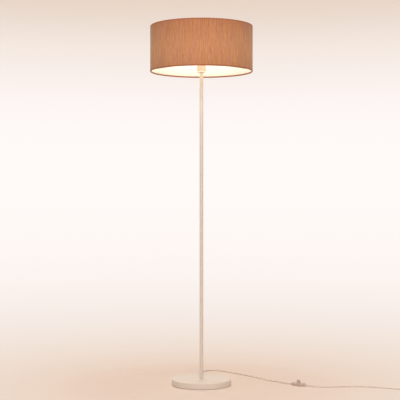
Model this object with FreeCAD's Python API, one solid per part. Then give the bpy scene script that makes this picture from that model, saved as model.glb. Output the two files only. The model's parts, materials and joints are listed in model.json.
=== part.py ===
import FreeCAD
import Part

import math
import os

# A column floor lamp: a round weighted base, a slim pole in three screwed
# sections, a lampholder with a bulb, a fabric drum shade that hangs on the
# lampholder's rings, and a cord with a foot switch, a coil and a flat plug.
# Sizes are in millimetres, +Z is up, and the origin is the centre of the
# base's underside, on the floor.

V = FreeCAD.Vector
ORIGIN = V(0, 0, 0)
UP = V(0, 0, 1)

# ---------------------------------------------------------------- clearances
THREAD_GAP = 0.05          # radial, between a nipple and what is screwed on it
PRESS_GAP = 0.05           # radial, between a pressed insert and its tube
GLUE_GAP = 0.05            # between the shade's cloth and its liner
MOVING_GAP = 0.3           # between a piece that moves and what guides it
TURN_GAP = 0.15            # above and below the shade's fitting ring
FINE_ROUND = 0.5           # softened edge of a small piece
PAST = 1.0                 # how far a cutting shape runs past what it cuts

# ---------------------------------------------------------------------- base
BASE_DIA = 260.0
BASE_HEIGHT = 27.0         # floor to the flat top of the cover
COVER_SHEET = 1.0
COVER_EDGE_ROUND = 4.0
COVER_FLOOR_GAP = 1.2      # the cover's skirt ends above the floor
MAT_DIA = 244.0
MAT_THICK = 2.0
WEIGHT_DIA = 251.0
WEIGHT_PLATE = 12.0
WEIGHT_EDGE_ROUND = 1.5
HUB_DIA = 70.0             # raised middle of the weight, up to the cover
HUB_WEB = 4.0
HUB_EDGE_ROUND = 3.0
RECESS_DIA = 56.0          # room for the nut, below the hub's web
CHANNEL_WIDTH = 9.0        # the cord's way through the weight
CHANNEL_HEIGHT = 8.0
FOOT_WASHER_DIA = 30.0
FOOT_WASHER_THICK = 1.6
LOCK_WASHER_DIA = 16.0
LOCK_WASHER_THICK = 1.2
LOCK_WASHER_SLOT = 1.5
NUT_ACROSS_FLATS = 14.0
NUT_HEIGHT = 3.0
NIPPLE_PAST_NUT = 0.7

# ---------------------------------------------------------------------- pole
POLE_DIA = 16.0
POLE_WALL = 1.0
POLE_SECTION = 448.0
POLE_NAMES = ("pole_lower", "pole_middle", "pole_upper")
POLE_END_CHAMFER = 0.3     # leaves a hairline at each joint
INSERT_LENGTH = 20.0
NIPPLE_DIA = 10.0
NIPPLE_BORE = 7.4
NIPPLE_REACH = 17.0        # how far a nipple goes into a pole section

# ---------------------------------------------------------------- lampholder
HOLDER_DIA = 39.5
CAP_HEIGHT = 19.0
CAP_FLOOR = 2.5
CAP_EDGE_ROUND = 2.0
CAP_INSIDE_ROUND = 1.0
CAP_BORE_DIA = 29.0        # inside the lower part of the cap
NECK_DIA = 16.0
NECK_HEIGHT = 8.0
SPIGOT_HEIGHT = 4.0        # the skirt's lower end, inside the cap
SPIGOT_DIA = 35.2
SKIRT_HEIGHT = 37.0        # above the cap
SKIRT_PLAIN = 12.0         # unthreaded lower part of the skirt
SKIRT_BORE_DIA = 31.0
SKIRT_SHOULDER = 0.6       # the skirt's bore steps in above the core
HOLDER_THREAD_PITCH = 2.5
HOLDER_THREAD_DEPTH = 0.8
HOLDER_THREAD_PROFILE = ((0.35, 1), (0.5, 1), (0.85, 0), (1, 0))  # (pitches up, depths in)
CORE_HEIGHT = 6.0
TERMINAL_RADIUS = 9.0      # from the axis to each terminal screw
TERMINAL_HEAD_DIA = 6.0
TERMINAL_HEAD_HEIGHT = 2.0
TERMINAL_SLOT = 0.8        # width and depth of the driver's slot
TERMINAL_STEM_DIA = 3.0
TERMINAL_STEM_LENGTH = 3.5
LEAD_DIA = 1.9
LEAD_BEND = 1.1
LEAD_APART = 2.4           # between the two leads where they leave the cord
CONTACT_WIDTH = 7.0
CONTACT_THICK = 0.5
CONTACT_RISE = 3.5
CONTACT_REACH = 9.8
CONTACT_BEND = 2.0

# ------------------------------------------------ screw cap, shell and bulb
SCREW_DIA = 26.4           # over the crests of the bulb's screw cap
SCREW_DEPTH = 1.0
SCREW_PITCH = 3.62
SCREW_PROFILE = ((0, 1), (0.3, 0), (0.7, 0))  # (pitches up, depths in)
CAP_TURNS = 4              # thread on the bulb's cap
CAP_FOOT_RIM = 0.5         # plain rim under the cap's thread
SHELL_TURNS = 6            # thread of the holder's shell, ending level with the cap's
CAP_SHEET = 0.4
SHELL_SHEET = 0.4
SHELL_COLLAR = 5.0         # plain part of the shell above its thread
BULB_DIA = 60.0
BULB_LENGTH = 107.5        # contact to the top of the glass
BULB_GLASS = 0.8
BULB_NECK_ROUND = 18.0
BULB_SHOULDER_ANGLE = 35.0  # below the widest line, where the glass turns straight
BULB_COLLAR_DIA = 26.6
BULB_COLLAR_HEIGHT = 7.6   # plain part of the cap above its thread
GLASS_IN_CAP = 4.5         # how far the glass reaches down into the cap
CONTACT_BUTTON_DIA = 9.0
CONTACT_BUTTON_HEIGHT = 1.5
CONTACT_BUTTON_ROUND = 1.0
INSULATOR_HEIGHT = 3.0
INSULATOR_FOOT_DIA = 11.0
STEM_FLARE_HEIGHT = 8.0
STEM_FLARE_RIM = 1.0
STEM_FLARE_ROUND = 4.0
STEM_DIA = 7.0
STEM_TOP_ROUND = 1.5
STEM_HEIGHT = 30.0
FILAMENT_COUNT = 4
FILAMENT_DIA = 1.8
FILAMENT_LENGTH = 32.0
FILAMENT_OVERLAP = 4.0     # how far a stick reaches down beside the stem
FILAMENT_LEAN = 9.0        # degrees from upright
FIRST_FILAMENT_ANGLE = 45.0

# --------------------------------------------------------------------- shade
SHADE_DIA = 450.0
SHADE_HEIGHT = 200.5
CLOTH_THICK = 0.5
LINER_THICK = 0.4
HEM_HEIGHT = 6.0           # cloth turned in over each wire ring
HEM_ROUND = 1.6
HEM_GAP = 0.1              # between the turned cloth and the wire
RING_WIRE_DIA = 3.0
SEAM_WIDTH = 12.0
SEAM_THICK = 0.3
FITTING_RISE = 38.5        # shade's lower edge to the fitting ring's underside
RING_ABOVE_PLAIN = 10.0    # start of the holder's thread to the fitting ring's underside
FITTING_THICK = 1.2
FITTING_DIA = 61.0
ARM_COUNT = 3
ARM_WIRE_DIA = 3.0
ARM_WELD = 0.8             # how far an arm's end goes into a ring
ARM_FLAT_END = 9.0         # level stretch of an arm at the shade's wire
ARM_BEND = 30.0
FIRST_ARM_ANGLE = 90.0
SHADE_RING_DIA = 57.0
SHADE_RING_FLANGE = 2.2
SHADE_RING_HEIGHT = 6.5
SHADE_RING_COLLAR = 2.6    # wall of the threaded collar
SHADE_RING_GAP = 0.2       # radial, over the lampholder's thread
GRIP_COUNT = 20
GRIP_DIA = 3.0
GRIP_DEPTH = 0.9

# ---------------------------------------------------------------------- cord
CORD_DIA = 5.6
CORD_EXIT_Z = 5.5          # where it leaves the base
CORD_BEND_IN_BASE = 10.0   # radius of its centre line under the nipple
RELIEF_LENGTH = 22.0
RELIEF_DIA = 9.6
RELIEF_END_DIA = 7.0
RELIEF_FLANGE_DIA = 10.4
RELIEF_FLANGE_THICK = 2.0
RELIEF_NECK_DIA = 8.0
RELIEF_SHOULDER = 3.0      # full-width part outside the cover
RELIEF_BORE_GAP = 0.1
FLOOR_Z = CORD_DIA / 2
ARC_SHARE = 0.45           # of the shorter run, taken by each arc of a route
FIRST_RUN_FROM_BASE = 26.0
LAST_RUN_TO_SWITCH = 20.0
FIRST_RUN_FROM_SWITCH = 22.0
LAST_RUN_TO_COIL = 20.0

# Free route from the base to the switch, between its two straight ends.
LAMP_SIDE_POINTS = (
    (2.5, 213, FLOOR_Z), (-1, 258, FLOOR_Z), (2, 306, FLOOR_Z),
    (14, 352, FLOOR_Z), (42, 380, FLOOR_Z), (82, 368, FLOOR_Z), (113, 340, FLOOR_Z),
    (145, 306, FLOOR_Z), (176, 271, FLOOR_Z), (205, 236, FLOOR_Z), (231, 203, FLOOR_Z),
    (255, 169, FLOOR_Z), (278, 133, FLOOR_Z), (304, 97, FLOOR_Z), (332, 72, FLOOR_Z),
    (350, 53, FLOOR_Z), (361, 33, 3.6),
)
# Free route from the switch to the coil.
PLUG_SIDE_POINTS = (
    (500, -72, 3.6), (532, -74, FLOOR_Z), (574, -69, FLOOR_Z), (624, -62, FLOOR_Z),
    (680, -61, FLOOR_Z), (738, -72, FLOOR_Z), (790, -96, FLOOR_Z), (834, -124, FLOOR_Z),
)

# -------------------------------------------------------------------- switch
SWITCH_CENTRE = V(424, -25, 0)
SWITCH_TURN = -35.0        # degrees, its long axis from +X
SWITCH_LENGTH = 66.0
SWITCH_WIDTH = 32.0
SWITCH_SPLIT_Z = 6.5       # where the two shells meet
SWITCH_TOP_Z = 13.0
SWITCH_WALL = 1.6
SWITCH_TOP_ROUND = 5.0
SWITCH_FOOT_ROUND = 1.0
SWITCH_CORD_Z = 5.0
BOOT_LENGTH = 10.0
BOOT_DIA = 8.6
BOOT_END_DIA = 7.0
BOOT_INSIDE = 3.0
BOOT_SEAT_GAP = 0.1
CORD_END_LENGTH = 10.0     # cord inside the shells
BUTTON_DIA = 15.0
BUTTON_TOP_Z = 26.5
BUTTON_ROUND = 2.5
BUTTON_TRAVEL = 3.5
BUTTON_FLANGE_DIA = 18.4
BUTTON_FLANGE_THICK = 1.2
BUTTON_BORE_DIA = 9.4
BUTTON_BORE_TOP_Z = 20.0
COLLAR_HEIGHT = 2.0        # rim round the button, above the cover
COLLAR_WALL = 1.8
COLLAR_ROUND = 0.8
ROOF_OVERLAP = 0.4         # how far rim and bosses reach into the cover's roof
BRIDGE_DIA = 16.0
BRIDGE_THICK = 0.8
MECHANISM_LENGTH = 36.0
MECHANISM_WIDTH = 18.0
MECHANISM_TOP_Z = 4.2
POST_DIA = 5.0
POST_TOP_Z = 12.0
SPRING_DIA = 8.0           # over the wire
SPRING_WIRE = 0.8
SPRING_TURNS = 6
CONTACT_PAD_DIA = 2.2
CONTACT_PAD_RADIUS = 6.6
CONTACT_PAD_GAP = 0.2      # left under the bridge when the button is down
CONTACT_PAD_MARGIN = 0.4   # strip left inside the pad
STRIP_WIDTH = 4.0
STRIP_THICK = 0.6
SHELL_SCREW_X = 16.0
SHELL_SCREW_Y = 10.0
SHELL_SCREW_DIA = 2.4
SHELL_SCREW_HEAD_DIA = 4.4
SHELL_SCREW_HEAD_HEIGHT = 1.4
SHELL_SCREW_LENGTH = 8.0
SHELL_SCREW_ROUND = 0.3
SHELL_POST_DIA = 6.4
SCREW_HEAD_RECESS = 2.0
SCREW_TIP_ROOM = 0.2
CLAMP_FROM_END = 8.0       # middle of a clamp to the shells' end
CLAMP_WIDTH = 4.0
CLAMP_SPAN = 15.0
CLAMP_THICK = 1.2

# -------------------------------------------------------- coil, tie and plug
COIL_CENTRE_X = 904.0
COIL_CENTRE_Y = -100.0
COIL_TURNS = 4             # two lying, two on top of them
COIL_PITCH = 6.15          # from one turn to the next, sideways and up
COIL_MIDDLE_RADIUS = 33.0
COIL_LEAD_IN = 18.0
TIE_WIDTH = 7.0
TIE_THICK = 0.6
TIE_GAP = 0.4
TIE_ROUND = 2.6
TIE_ANGLE = 90.0
TAIL_FLAT = 26.0
TAIL_FALL = 30.0
TAIL_END = 14.0
PLUG_THICK = 13.7
PLUG_WIDTH = 35.3
PLUG_WAIST = 29.0
PLUG_REAR_WIDTH = 13.0
PLUG_REAR_THICK = 11.0
PLUG_LENGTH = 36.0
PLUG_WAIST_AT = 18.0
PLUG_REAR_ROUND = 3.5
PLUG_WAIST_ROUND = 4.5
PLUG_FACE_ROUND = 5.5
PLUG_BOOT_LENGTH = 22.0
PLUG_BOOT_DIA = 10.0
PLUG_BOOT_END_DIA = 7.0
PIN_DIA = 4.0
PIN_ROOT_DIA = 3.0         # inside the plug's body
PIN_LENGTH = 19.0
PIN_APART = 18.6
PIN_TIP_ROUND = 1.0
PIN_IN_BODY = 14.0
SLEEVE_LENGTH = 10.0
SLEEVE_WALL = 0.4

# ------------------------------------------------- levels, from the floor up
COVER_UNDERSIDE = BASE_HEIGHT - COVER_SHEET
WEB_UNDERSIDE = COVER_UNDERSIDE - HUB_WEB
WASHER_UNDERSIDE = WEB_UNDERSIDE - FOOT_WASHER_THICK
LOCK_UNDERSIDE = WASHER_UNDERSIDE - LOCK_WASHER_THICK
NUT_UNDERSIDE = LOCK_UNDERSIDE - NUT_HEIGHT
FOOT_NIPPLE_END = NUT_UNDERSIDE - NIPPLE_PAST_NUT
POLE_TOP = BASE_HEIGHT + len(POLE_NAMES) * POLE_SECTION
CAP_TOP = POLE_TOP + CAP_HEIGHT
CORE_UNDERSIDE = CAP_TOP - SPIGOT_HEIGHT
CORE_TOP = CORE_UNDERSIDE + CORE_HEIGHT
SKIRT_TOP = CAP_TOP + SKIRT_HEIGHT
BULB_FOOT = CORE_TOP + CONTACT_RISE
CAP_FOOT = BULB_FOOT + CONTACT_BUTTON_HEIGHT + INSULATOR_HEIGHT
THREAD_TOP = CAP_FOOT + CAP_FOOT_RIM + CAP_TURNS * SCREW_PITCH
CAP_RIM = THREAD_TOP + BULB_COLLAR_HEIGHT
GLASS_FOOT = CAP_RIM - GLASS_IN_CAP
FITTING_Z = CAP_TOP + SKIRT_PLAIN + RING_ABOVE_PLAIN
SHADE_BOTTOM = FITTING_Z - FITTING_RISE
SHADE_TOP = SHADE_BOTTOM + SHADE_HEIGHT

# ----------------------------------------------------------- other derived
NIPPLE_R = NIPPLE_DIA / 2
SHADE_R = SHADE_DIA / 2
CLOTH_INNER_R = SHADE_R - CLOTH_THICK
LINER_OUTER_R = CLOTH_INNER_R - GLUE_GAP
LINER_INNER_R = LINER_OUTER_R - LINER_THICK
RING_WIRE_R = LINER_INNER_R - HEM_GAP - RING_WIRE_DIA / 2
TURNED_R = RING_WIRE_R - RING_WIRE_DIA / 2 - HEM_GAP
FITTING_BORE_R = HOLDER_DIA / 2 + SHADE_RING_GAP + MOVING_GAP
COIL_INNER_R = COIL_MIDDLE_RADIUS - COIL_PITCH * COIL_TURNS / 4
COIL_OUTER_R = COIL_INNER_R + COIL_PITCH * COIL_TURNS / 2
COIL_LOW_Z = FLOOR_Z + TIE_GAP + TIE_THICK
COIL_HIGH_Z = COIL_LOW_Z + COIL_PITCH
COIL_CENTRE = V(COIL_CENTRE_X, COIL_CENTRE_Y, 0)
PLUG_Z = PLUG_THICK / 2


# ------------------------------------------------------------------- helpers
def tangent_arc(before, corner, after, radius):
    """Start, middle and end of the arc that rounds a corner."""
    to_before = (before - corner).normalize()
    to_after = (after - corner).normalize()
    half_turn = (math.pi - to_before.getAngle(to_after)) / 2
    cut = radius * math.tan(half_turn)
    inward = (to_before + to_after).normalize()
    middle = corner + inward * (radius / math.cos(half_turn) - radius)
    return corner + to_before * cut, middle, corner + to_after * cut


def rounded_edges(corners, closed=False):
    """Lines and tangent arcs along corners given as (point, radius)."""
    count = len(corners)
    stops = []
    for index, (point, radius) in enumerate(corners):
        inner = closed or 0 < index < count - 1
        if radius > 0 and inner:
            before = corners[index - 1][0]
            after = corners[(index + 1) % count][0]
            stops.append(tangent_arc(before, point, after, radius))
        else:
            stops.append((point, None, point))
    edges = []
    for index, (start, middle, end) in enumerate(stops):
        if middle is not None:
            edges.append(Part.Arc(start, middle, end).toShape())
        if index == count - 1 and not closed:
            break
        following = stops[(index + 1) % count][0]
        if (following - end).Length > 1e-6:
            edges.append(Part.LineSegment(end, following).toShape())
    return edges


def outward(solid):
    """The solid with its faces turned outwards."""
    if solid.Volume < 0:
        solid.reverse()
    return solid


def turned(*corners):
    """Solid of revolution about Z; a corner is (r, z) or (r, z, rounding)."""
    points = [(V(c[0], 0, c[1]), c[2] if len(c) > 2 else 0) for c in corners]
    outline = Part.Face(Part.Wire(rounded_edges(points, closed=True)))
    return outward(outline.revolve(ORIGIN, UP, 360))


def ring(low, high, outer_r, inner_r=0, edge_round=0):
    """A disc, washer or tube about Z."""
    return turned((inner_r, low), (outer_r, low, edge_round),
                  (outer_r, high, edge_round), (inner_r, high))


def moved(shape, x=0, y=0, z=0):
    """A copy of the shape, shifted."""
    copy = shape.copy()
    copy.translate(V(x, y, z))
    return copy


def spun(shape, angle, axis=UP, centre=ORIGIN):
    """A copy of the shape, turned about an axis."""
    copy = shape.copy()
    copy.rotate(centre, axis, angle)
    return copy


def round_about(shape, count, first_angle=0):
    """Copies of a shape, evenly round the Z axis."""
    return [spun(shape, first_angle + 360 * index / count) for index in range(count)]


def mirrored_pair(shape):
    """The shape and its half-turn copy about Z."""
    return [shape, spun(shape, 180)]


def block(low, high):
    """A box between two corners."""
    size = V(*high) - V(*low)
    return Part.makeBox(size.x, size.y, size.z, V(*low))


def rod(start, end, radius):
    """A round bar between two points."""
    return Part.makeCylinder(radius, (end - start).Length, start, end - start)


def cone(start, end, start_r, end_r):
    """A tapered round bar between two points."""
    return Part.makeCone(start_r, end_r, (end - start).Length, start, end - start)


def oval(length, width, low, high):
    """A flat-sided prism with round ends, its length along X."""
    radius = width / 2
    side = length / 2 - radius
    edges = []
    for way in (1, -1):
        start, end = V(way * side, -way * radius, low), V(way * side, way * radius, low)
        edges.append(Part.Arc(start, V(way * length / 2, 0, low), end).toShape())
        edges.append(Part.LineSegment(end, V(-way * side, way * radius, low)).toShape())
    return Part.Face(Part.Wire(edges)).extrude(V(0, 0, high - low))


def edges_at(shape, level):
    """The shape's edges that lie wholly at one level."""
    return [edge for edge in shape.Edges
            if abs(edge.BoundBox.ZMin - level) < 1e-4 and abs(edge.BoundBox.ZMax - level) < 1e-4]


def swept(edges, radius):
    """A round tube along a path of lines and arcs."""
    path = Part.Wire(edges)
    first = edges[0]
    heading = first.tangentAt(first.FirstParameter)
    start = first.valueAt(first.FirstParameter)
    section = Part.Wire(Part.makeCircle(radius, start, heading))
    tube = path.makePipeShell([section], True, False)
    return outward(Part.Solid(tube.Shells[0]) if tube.ShapeType != "Solid" else tube)


def route_corners(points):
    """Each inner point of a route with the arc that its two runs allow."""
    corners = [(points[0], 0)]
    for before, here, after in zip(points, points[1:], points[2:]):
        shorter = min((here - before).Length, (after - here).Length)
        half_turn = (here - before).getAngle(after - here) / 2
        corners.append((here, ARC_SHARE * shorter / math.tan(half_turn)))
    corners.append((points[-1], 0))
    return corners


def biarc(start, start_way, end, end_way):
    """Two arcs that join two points with the given headings."""
    span = end - start
    both = start_way + end_way
    spread = 2 * (1 - start_way.dot(end_way))
    along = span.dot(both)
    reach = (math.sqrt(along * along + spread * span.dot(span)) - along) / spread
    first_corner = start + start_way * reach
    second_corner = end - end_way * reach
    joint = (first_corner + second_corner) / 2
    arcs = []
    for near, corner, far in ((start, first_corner, joint), (joint, second_corner, end)):
        way_in = (corner - near).normalize()
        way_out = (far - corner).normalize()
        half_turn = way_in.getAngle(way_out) / 2
        radius = (corner - near).Length / math.tan(half_turn)
        arcs.append(Part.Arc(*tangent_arc(near, corner, far, radius)).toShape())
    return arcs


def wound_edges(place, quarters, first_way=None, last_way=None):
    """Biarcs, a quarter turn each, along a curve given by its angle."""
    step = 1e-4
    angles = [quarter * math.pi / 2 for quarter in range(quarters + 1)]
    ways = [(place(angle + step) - place(angle - step)).normalize() for angle in angles]
    ways[0] = first_way or ways[0]
    ways[-1] = last_way or ways[-1]
    edges = []
    for index in range(quarters):
        edges += biarc(place(angles[index]), ways[index], place(angles[index + 1]), ways[index + 1])
    return edges


def say_route(name, points, solid):
    """Print a route's radii, and its tube's volume against section times length."""
    corners = route_corners(points)
    radii = " ".join(f"{radius:.0f}" for _, radius in corners[1:-1])
    runs = " ".join(f"{(b - a).Length:.0f}" for a, b in zip(points, points[1:]))
    length = sum(edge.Length for edge in rounded_edges(corners))
    section = math.pi * (CORD_DIA / 2) ** 2
    print(f"{name}: length {length:.1f}, runs {runs}, radii {radii}")
    print(f"{name}: volume {solid.Volume:.1f}, section x length {section * length:.1f}")


def least_gap(points, wire_dia):
    """The least space between parts of a wound tube that aren't neighbours."""
    neighbours = 4 * wire_dia
    lengths = [0.0]
    for a, b in zip(points, points[1:]):
        lengths.append(lengths[-1] + (b - a).Length)
    nearest = min((a - b).Length
                  for i, a in enumerate(points) for j, b in enumerate(points[:i])
                  if lengths[i] - lengths[j] > neighbours)
    return nearest - wire_dia


# ---------------------------------------------------------------------- base
def base_cover():
    """Pressed steel cover with a notch at the back for the cord's relief."""
    outer = BASE_DIA / 2
    inner = outer - COVER_SHEET
    hole = NIPPLE_R + THREAD_GAP
    cover = turned((hole, COVER_UNDERSIDE), (hole, BASE_HEIGHT),
                   (outer, BASE_HEIGHT, COVER_EDGE_ROUND), (outer, COVER_FLOOR_GAP),
                   (inner, COVER_FLOOR_GAP),
                   (inner, COVER_UNDERSIDE, COVER_EDGE_ROUND - COVER_SHEET))
    neck_r = RELIEF_NECK_DIA / 2 + RELIEF_BORE_GAP
    inside = V(0, inner - COVER_SHEET, CORD_EXIT_Z)
    outside = V(0, outer + COVER_SHEET, CORD_EXIT_Z)
    notch = rod(inside, outside, neck_r)
    slot = block((-neck_r, inside.y, 0), (neck_r, outside.y, CORD_EXIT_Z))
    return cover.cut(notch).cut(slot)


def base_weight():
    """Cast iron weight: a plate, a hub up to the cover, and the cord's channel."""
    plate_top = MAT_THICK + WEIGHT_PLATE
    outer = WEIGHT_DIA / 2
    recess = RECESS_DIA / 2
    hole = NIPPLE_R + THREAD_GAP
    weight = turned((hole, WEB_UNDERSIDE), (hole, COVER_UNDERSIDE),
                    (HUB_DIA / 2, COVER_UNDERSIDE, HUB_EDGE_ROUND), (HUB_DIA / 2, plate_top),
                    (outer, plate_top, WEIGHT_EDGE_ROUND), (outer, MAT_THICK, WEIGHT_EDGE_ROUND),
                    (recess, MAT_THICK), (recess, WEB_UNDERSIDE))
    half = CHANNEL_WIDTH / 2
    channel = block((-half, 0, MAT_THICK), (half, outer + half, MAT_THICK + CHANNEL_HEIGHT))
    return weight.cut(channel)


def base_mat():
    """Thin rubber mat under the whole base; the lamp stands on it."""
    return ring(0, MAT_THICK, MAT_DIA / 2)


def foot_washer():
    return ring(WASHER_UNDERSIDE, WEB_UNDERSIDE, FOOT_WASHER_DIA / 2, NIPPLE_R + THREAD_GAP)


def foot_lock_washer():
    """Split spring washer."""
    washer = ring(LOCK_UNDERSIDE, WASHER_UNDERSIDE, LOCK_WASHER_DIA / 2, NIPPLE_R + THREAD_GAP)
    half = LOCK_WASHER_SLOT / 2
    slot = block((0, -half, LOCK_UNDERSIDE - PAST), (LOCK_WASHER_DIA, half, WASHER_UNDERSIDE + PAST))
    return washer.cut(slot)


def foot_nut():
    """Thin hexagon nut, its points softened by a chamfer."""
    point_r = NUT_ACROSS_FLATS / math.sqrt(3)
    turns = [math.radians(60 * index) for index in range(6)]
    corners = [V(point_r * math.cos(turn), point_r * math.sin(turn), NUT_UNDERSIDE) for turn in turns]
    outline = Part.Face(Part.makePolygon(corners + corners[:1]))
    prism = outline.extrude(V(0, 0, NUT_HEIGHT))
    flat_r = NUT_ACROSS_FLATS / 2
    bevel = (point_r - flat_r) / 2
    envelope = turned((0, NUT_UNDERSIDE), (flat_r, NUT_UNDERSIDE), (point_r, NUT_UNDERSIDE + bevel),
                      (point_r, LOCK_UNDERSIDE - bevel), (flat_r, LOCK_UNDERSIDE),
                      (0, LOCK_UNDERSIDE))
    bore = ring(NUT_UNDERSIDE - PAST, LOCK_UNDERSIDE + PAST, NIPPLE_R + THREAD_GAP)
    return prism.common(envelope).cut(bore)


def foot_nipple():
    """Threaded tube that joins the base to the pole and lets the cord up."""
    return ring(FOOT_NIPPLE_END, BASE_HEIGHT + NIPPLE_REACH, NIPPLE_R, NIPPLE_BORE / 2)


def cord_relief():
    """Tapered rubber relief, clipped into the cover's notch."""
    wall_out = BASE_DIA / 2
    wall_in = wall_out - COVER_SHEET
    bore = CORD_DIA / 2 + RELIEF_BORE_GAP
    flange_in = wall_in - RELIEF_BORE_GAP
    shape = turned((bore, flange_in - RELIEF_FLANGE_THICK),
                   (RELIEF_FLANGE_DIA / 2, flange_in - RELIEF_FLANGE_THICK),
                   (RELIEF_FLANGE_DIA / 2, flange_in), (RELIEF_NECK_DIA / 2, flange_in),
                   (RELIEF_NECK_DIA / 2, wall_out + RELIEF_BORE_GAP),
                   (RELIEF_DIA / 2, wall_out + RELIEF_BORE_GAP, FINE_ROUND),
                   (RELIEF_DIA / 2, wall_out + RELIEF_SHOULDER),
                   (RELIEF_END_DIA / 2, wall_out + RELIEF_LENGTH),
                   (bore, wall_out + RELIEF_LENGTH))
    return moved(spun(shape, -90, V(1, 0, 0)), z=CORD_EXIT_Z)


# ---------------------------------------------------------------------- pole
def section_foot(index):
    """The level of a pole section's lower end."""
    return BASE_HEIGHT + index * POLE_SECTION


def pole_section(index):
    """One length of the pole, chamfered at both ends."""
    low = section_foot(index)
    high = low + POLE_SECTION
    outer = POLE_DIA / 2
    bevel = POLE_END_CHAMFER
    return turned((outer - POLE_WALL, low), (outer - bevel, low), (outer, low + bevel),
                  (outer, high - bevel), (outer - bevel, high), (outer - POLE_WALL, high))


def tube_inserts():
    """Threaded inserts, one pressed into each end of each section."""
    outer = POLE_DIA / 2 - POLE_WALL - PRESS_GAP
    lows = []
    for index in range(len(POLE_NAMES)):
        foot = section_foot(index)
        lows += [foot, foot + POLE_SECTION - INSERT_LENGTH]
    return [ring(low, low + INSERT_LENGTH, outer, NIPPLE_R + THREAD_GAP) for low in lows]


def joint_nipples():
    """Threaded tubes between the sections."""
    joints = [section_foot(index) for index in range(1, len(POLE_NAMES))]
    return [ring(z - NIPPLE_REACH, z + NIPPLE_REACH, NIPPLE_R, NIPPLE_BORE / 2) for z in joints]


def holder_nipple():
    """Threaded tube between the pole's top and the lampholder's neck."""
    return ring(POLE_TOP - NIPPLE_REACH, POLE_TOP + NECK_HEIGHT, NIPPLE_R, NIPPLE_BORE / 2)


def inner_cord():
    """The cord inside the lamp, from the relief's end up to the lampholder."""
    relief_end = V(0, BASE_DIA / 2 + RELIEF_LENGTH, CORD_EXIT_Z)
    corners = [(relief_end, 0), (V(0, 0, CORD_EXIT_Z), CORD_BEND_IN_BASE),
               (V(0, 0, POLE_TOP + NECK_HEIGHT), 0)]
    return swept(rounded_edges(corners), CORD_DIA / 2)


# ---------------------------------------------------------------- lampholder
def holder_cap():
    """Lower part of the lampholder, screwed on the nipple."""
    outer = HOLDER_DIA / 2
    floor_top = POLE_TOP + CAP_FLOOR
    neck_top = POLE_TOP + NECK_HEIGHT
    spigot_room = SPIGOT_DIA / 2 + THREAD_GAP
    return turned((NIPPLE_R + THREAD_GAP, POLE_TOP), (outer, POLE_TOP, CAP_EDGE_ROUND),
                  (outer, CAP_TOP), (spigot_room, CAP_TOP), (spigot_room, CORE_UNDERSIDE),
                  (CAP_BORE_DIA / 2, CORE_UNDERSIDE),
                  (CAP_BORE_DIA / 2, floor_top, CAP_INSIDE_ROUND),
                  (NECK_DIA / 2, floor_top, CAP_INSIDE_ROUND), (NECK_DIA / 2, neck_top),
                  (NIPPLE_R + THREAD_GAP, neck_top))


def holder_skirt():
    """Upper part of the lampholder, with the thread for the shade rings."""
    outer = HOLDER_DIA / 2
    thread_foot = CAP_TOP + SKIRT_PLAIN
    corners = [(SKIRT_BORE_DIA / 2, CORE_UNDERSIDE), (SPIGOT_DIA / 2, CORE_UNDERSIDE),
               (SPIGOT_DIA / 2, CAP_TOP), (outer, CAP_TOP), (outer, thread_foot)]
    for index in range(int((SKIRT_TOP - thread_foot) / HOLDER_THREAD_PITCH)):
        foot = thread_foot + index * HOLDER_THREAD_PITCH
        corners += [(outer - depths * HOLDER_THREAD_DEPTH, foot + pitches * HOLDER_THREAD_PITCH)
                    for pitches, depths in HOLDER_THREAD_PROFILE]
    if SKIRT_TOP > corners[-1][1]:
        corners.append((outer, SKIRT_TOP))
    upper_bore = SKIRT_BORE_DIA / 2 - SKIRT_SHOULDER
    corners += [(upper_bore, SKIRT_TOP), (upper_bore, CORE_TOP), (SKIRT_BORE_DIA / 2, CORE_TOP)]
    return turned(*corners)


def holder_core():
    """Insulating disc that carries the contacts, held between cap and skirt."""
    core = ring(CORE_UNDERSIDE, CORE_TOP, SKIRT_BORE_DIA / 2 - THREAD_GAP, 0, FINE_ROUND)
    hole = ring(CORE_UNDERSIDE - PAST, CORE_UNDERSIDE + TERMINAL_STEM_LENGTH, TERMINAL_STEM_DIA / 2)
    return core.cut(mirrored_pair(moved(hole, x=TERMINAL_RADIUS)))


def screw_sheet(crest_r, low, turns, collar_r, high, sheet):
    """Thin shell with a rounded thread drawn as rings, and a plain collar above it."""
    thread_low = THREAD_TOP - turns * SCREW_PITCH
    outside = [(crest_r - depths * SCREW_DEPTH, thread_low + (index + pitches) * SCREW_PITCH, FINE_ROUND)
               for index in range(turns) for pitches, depths in SCREW_PROFILE]
    outside.append((crest_r - SCREW_DEPTH, THREAD_TOP, FINE_ROUND))
    outside.append((collar_r, THREAD_TOP + SCREW_PITCH / 2, FINE_ROUND))
    inside = [(r - sheet, z, rounding) for r, z, rounding in reversed(outside)]
    return turned((crest_r - SCREW_DEPTH, low), *outside, (collar_r, high), (collar_r - sheet, high),
                  *inside, (crest_r - SCREW_DEPTH - sheet, low))


def screw_shell():
    """Brass screw shell of the lampholder."""
    room = MOVING_GAP + SHELL_SHEET
    return screw_sheet(SCREW_DIA / 2 + room, CORE_TOP, SHELL_TURNS, BULB_COLLAR_DIA / 2 + room,
                       THREAD_TOP + SHELL_COLLAR, SHELL_SHEET)


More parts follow.
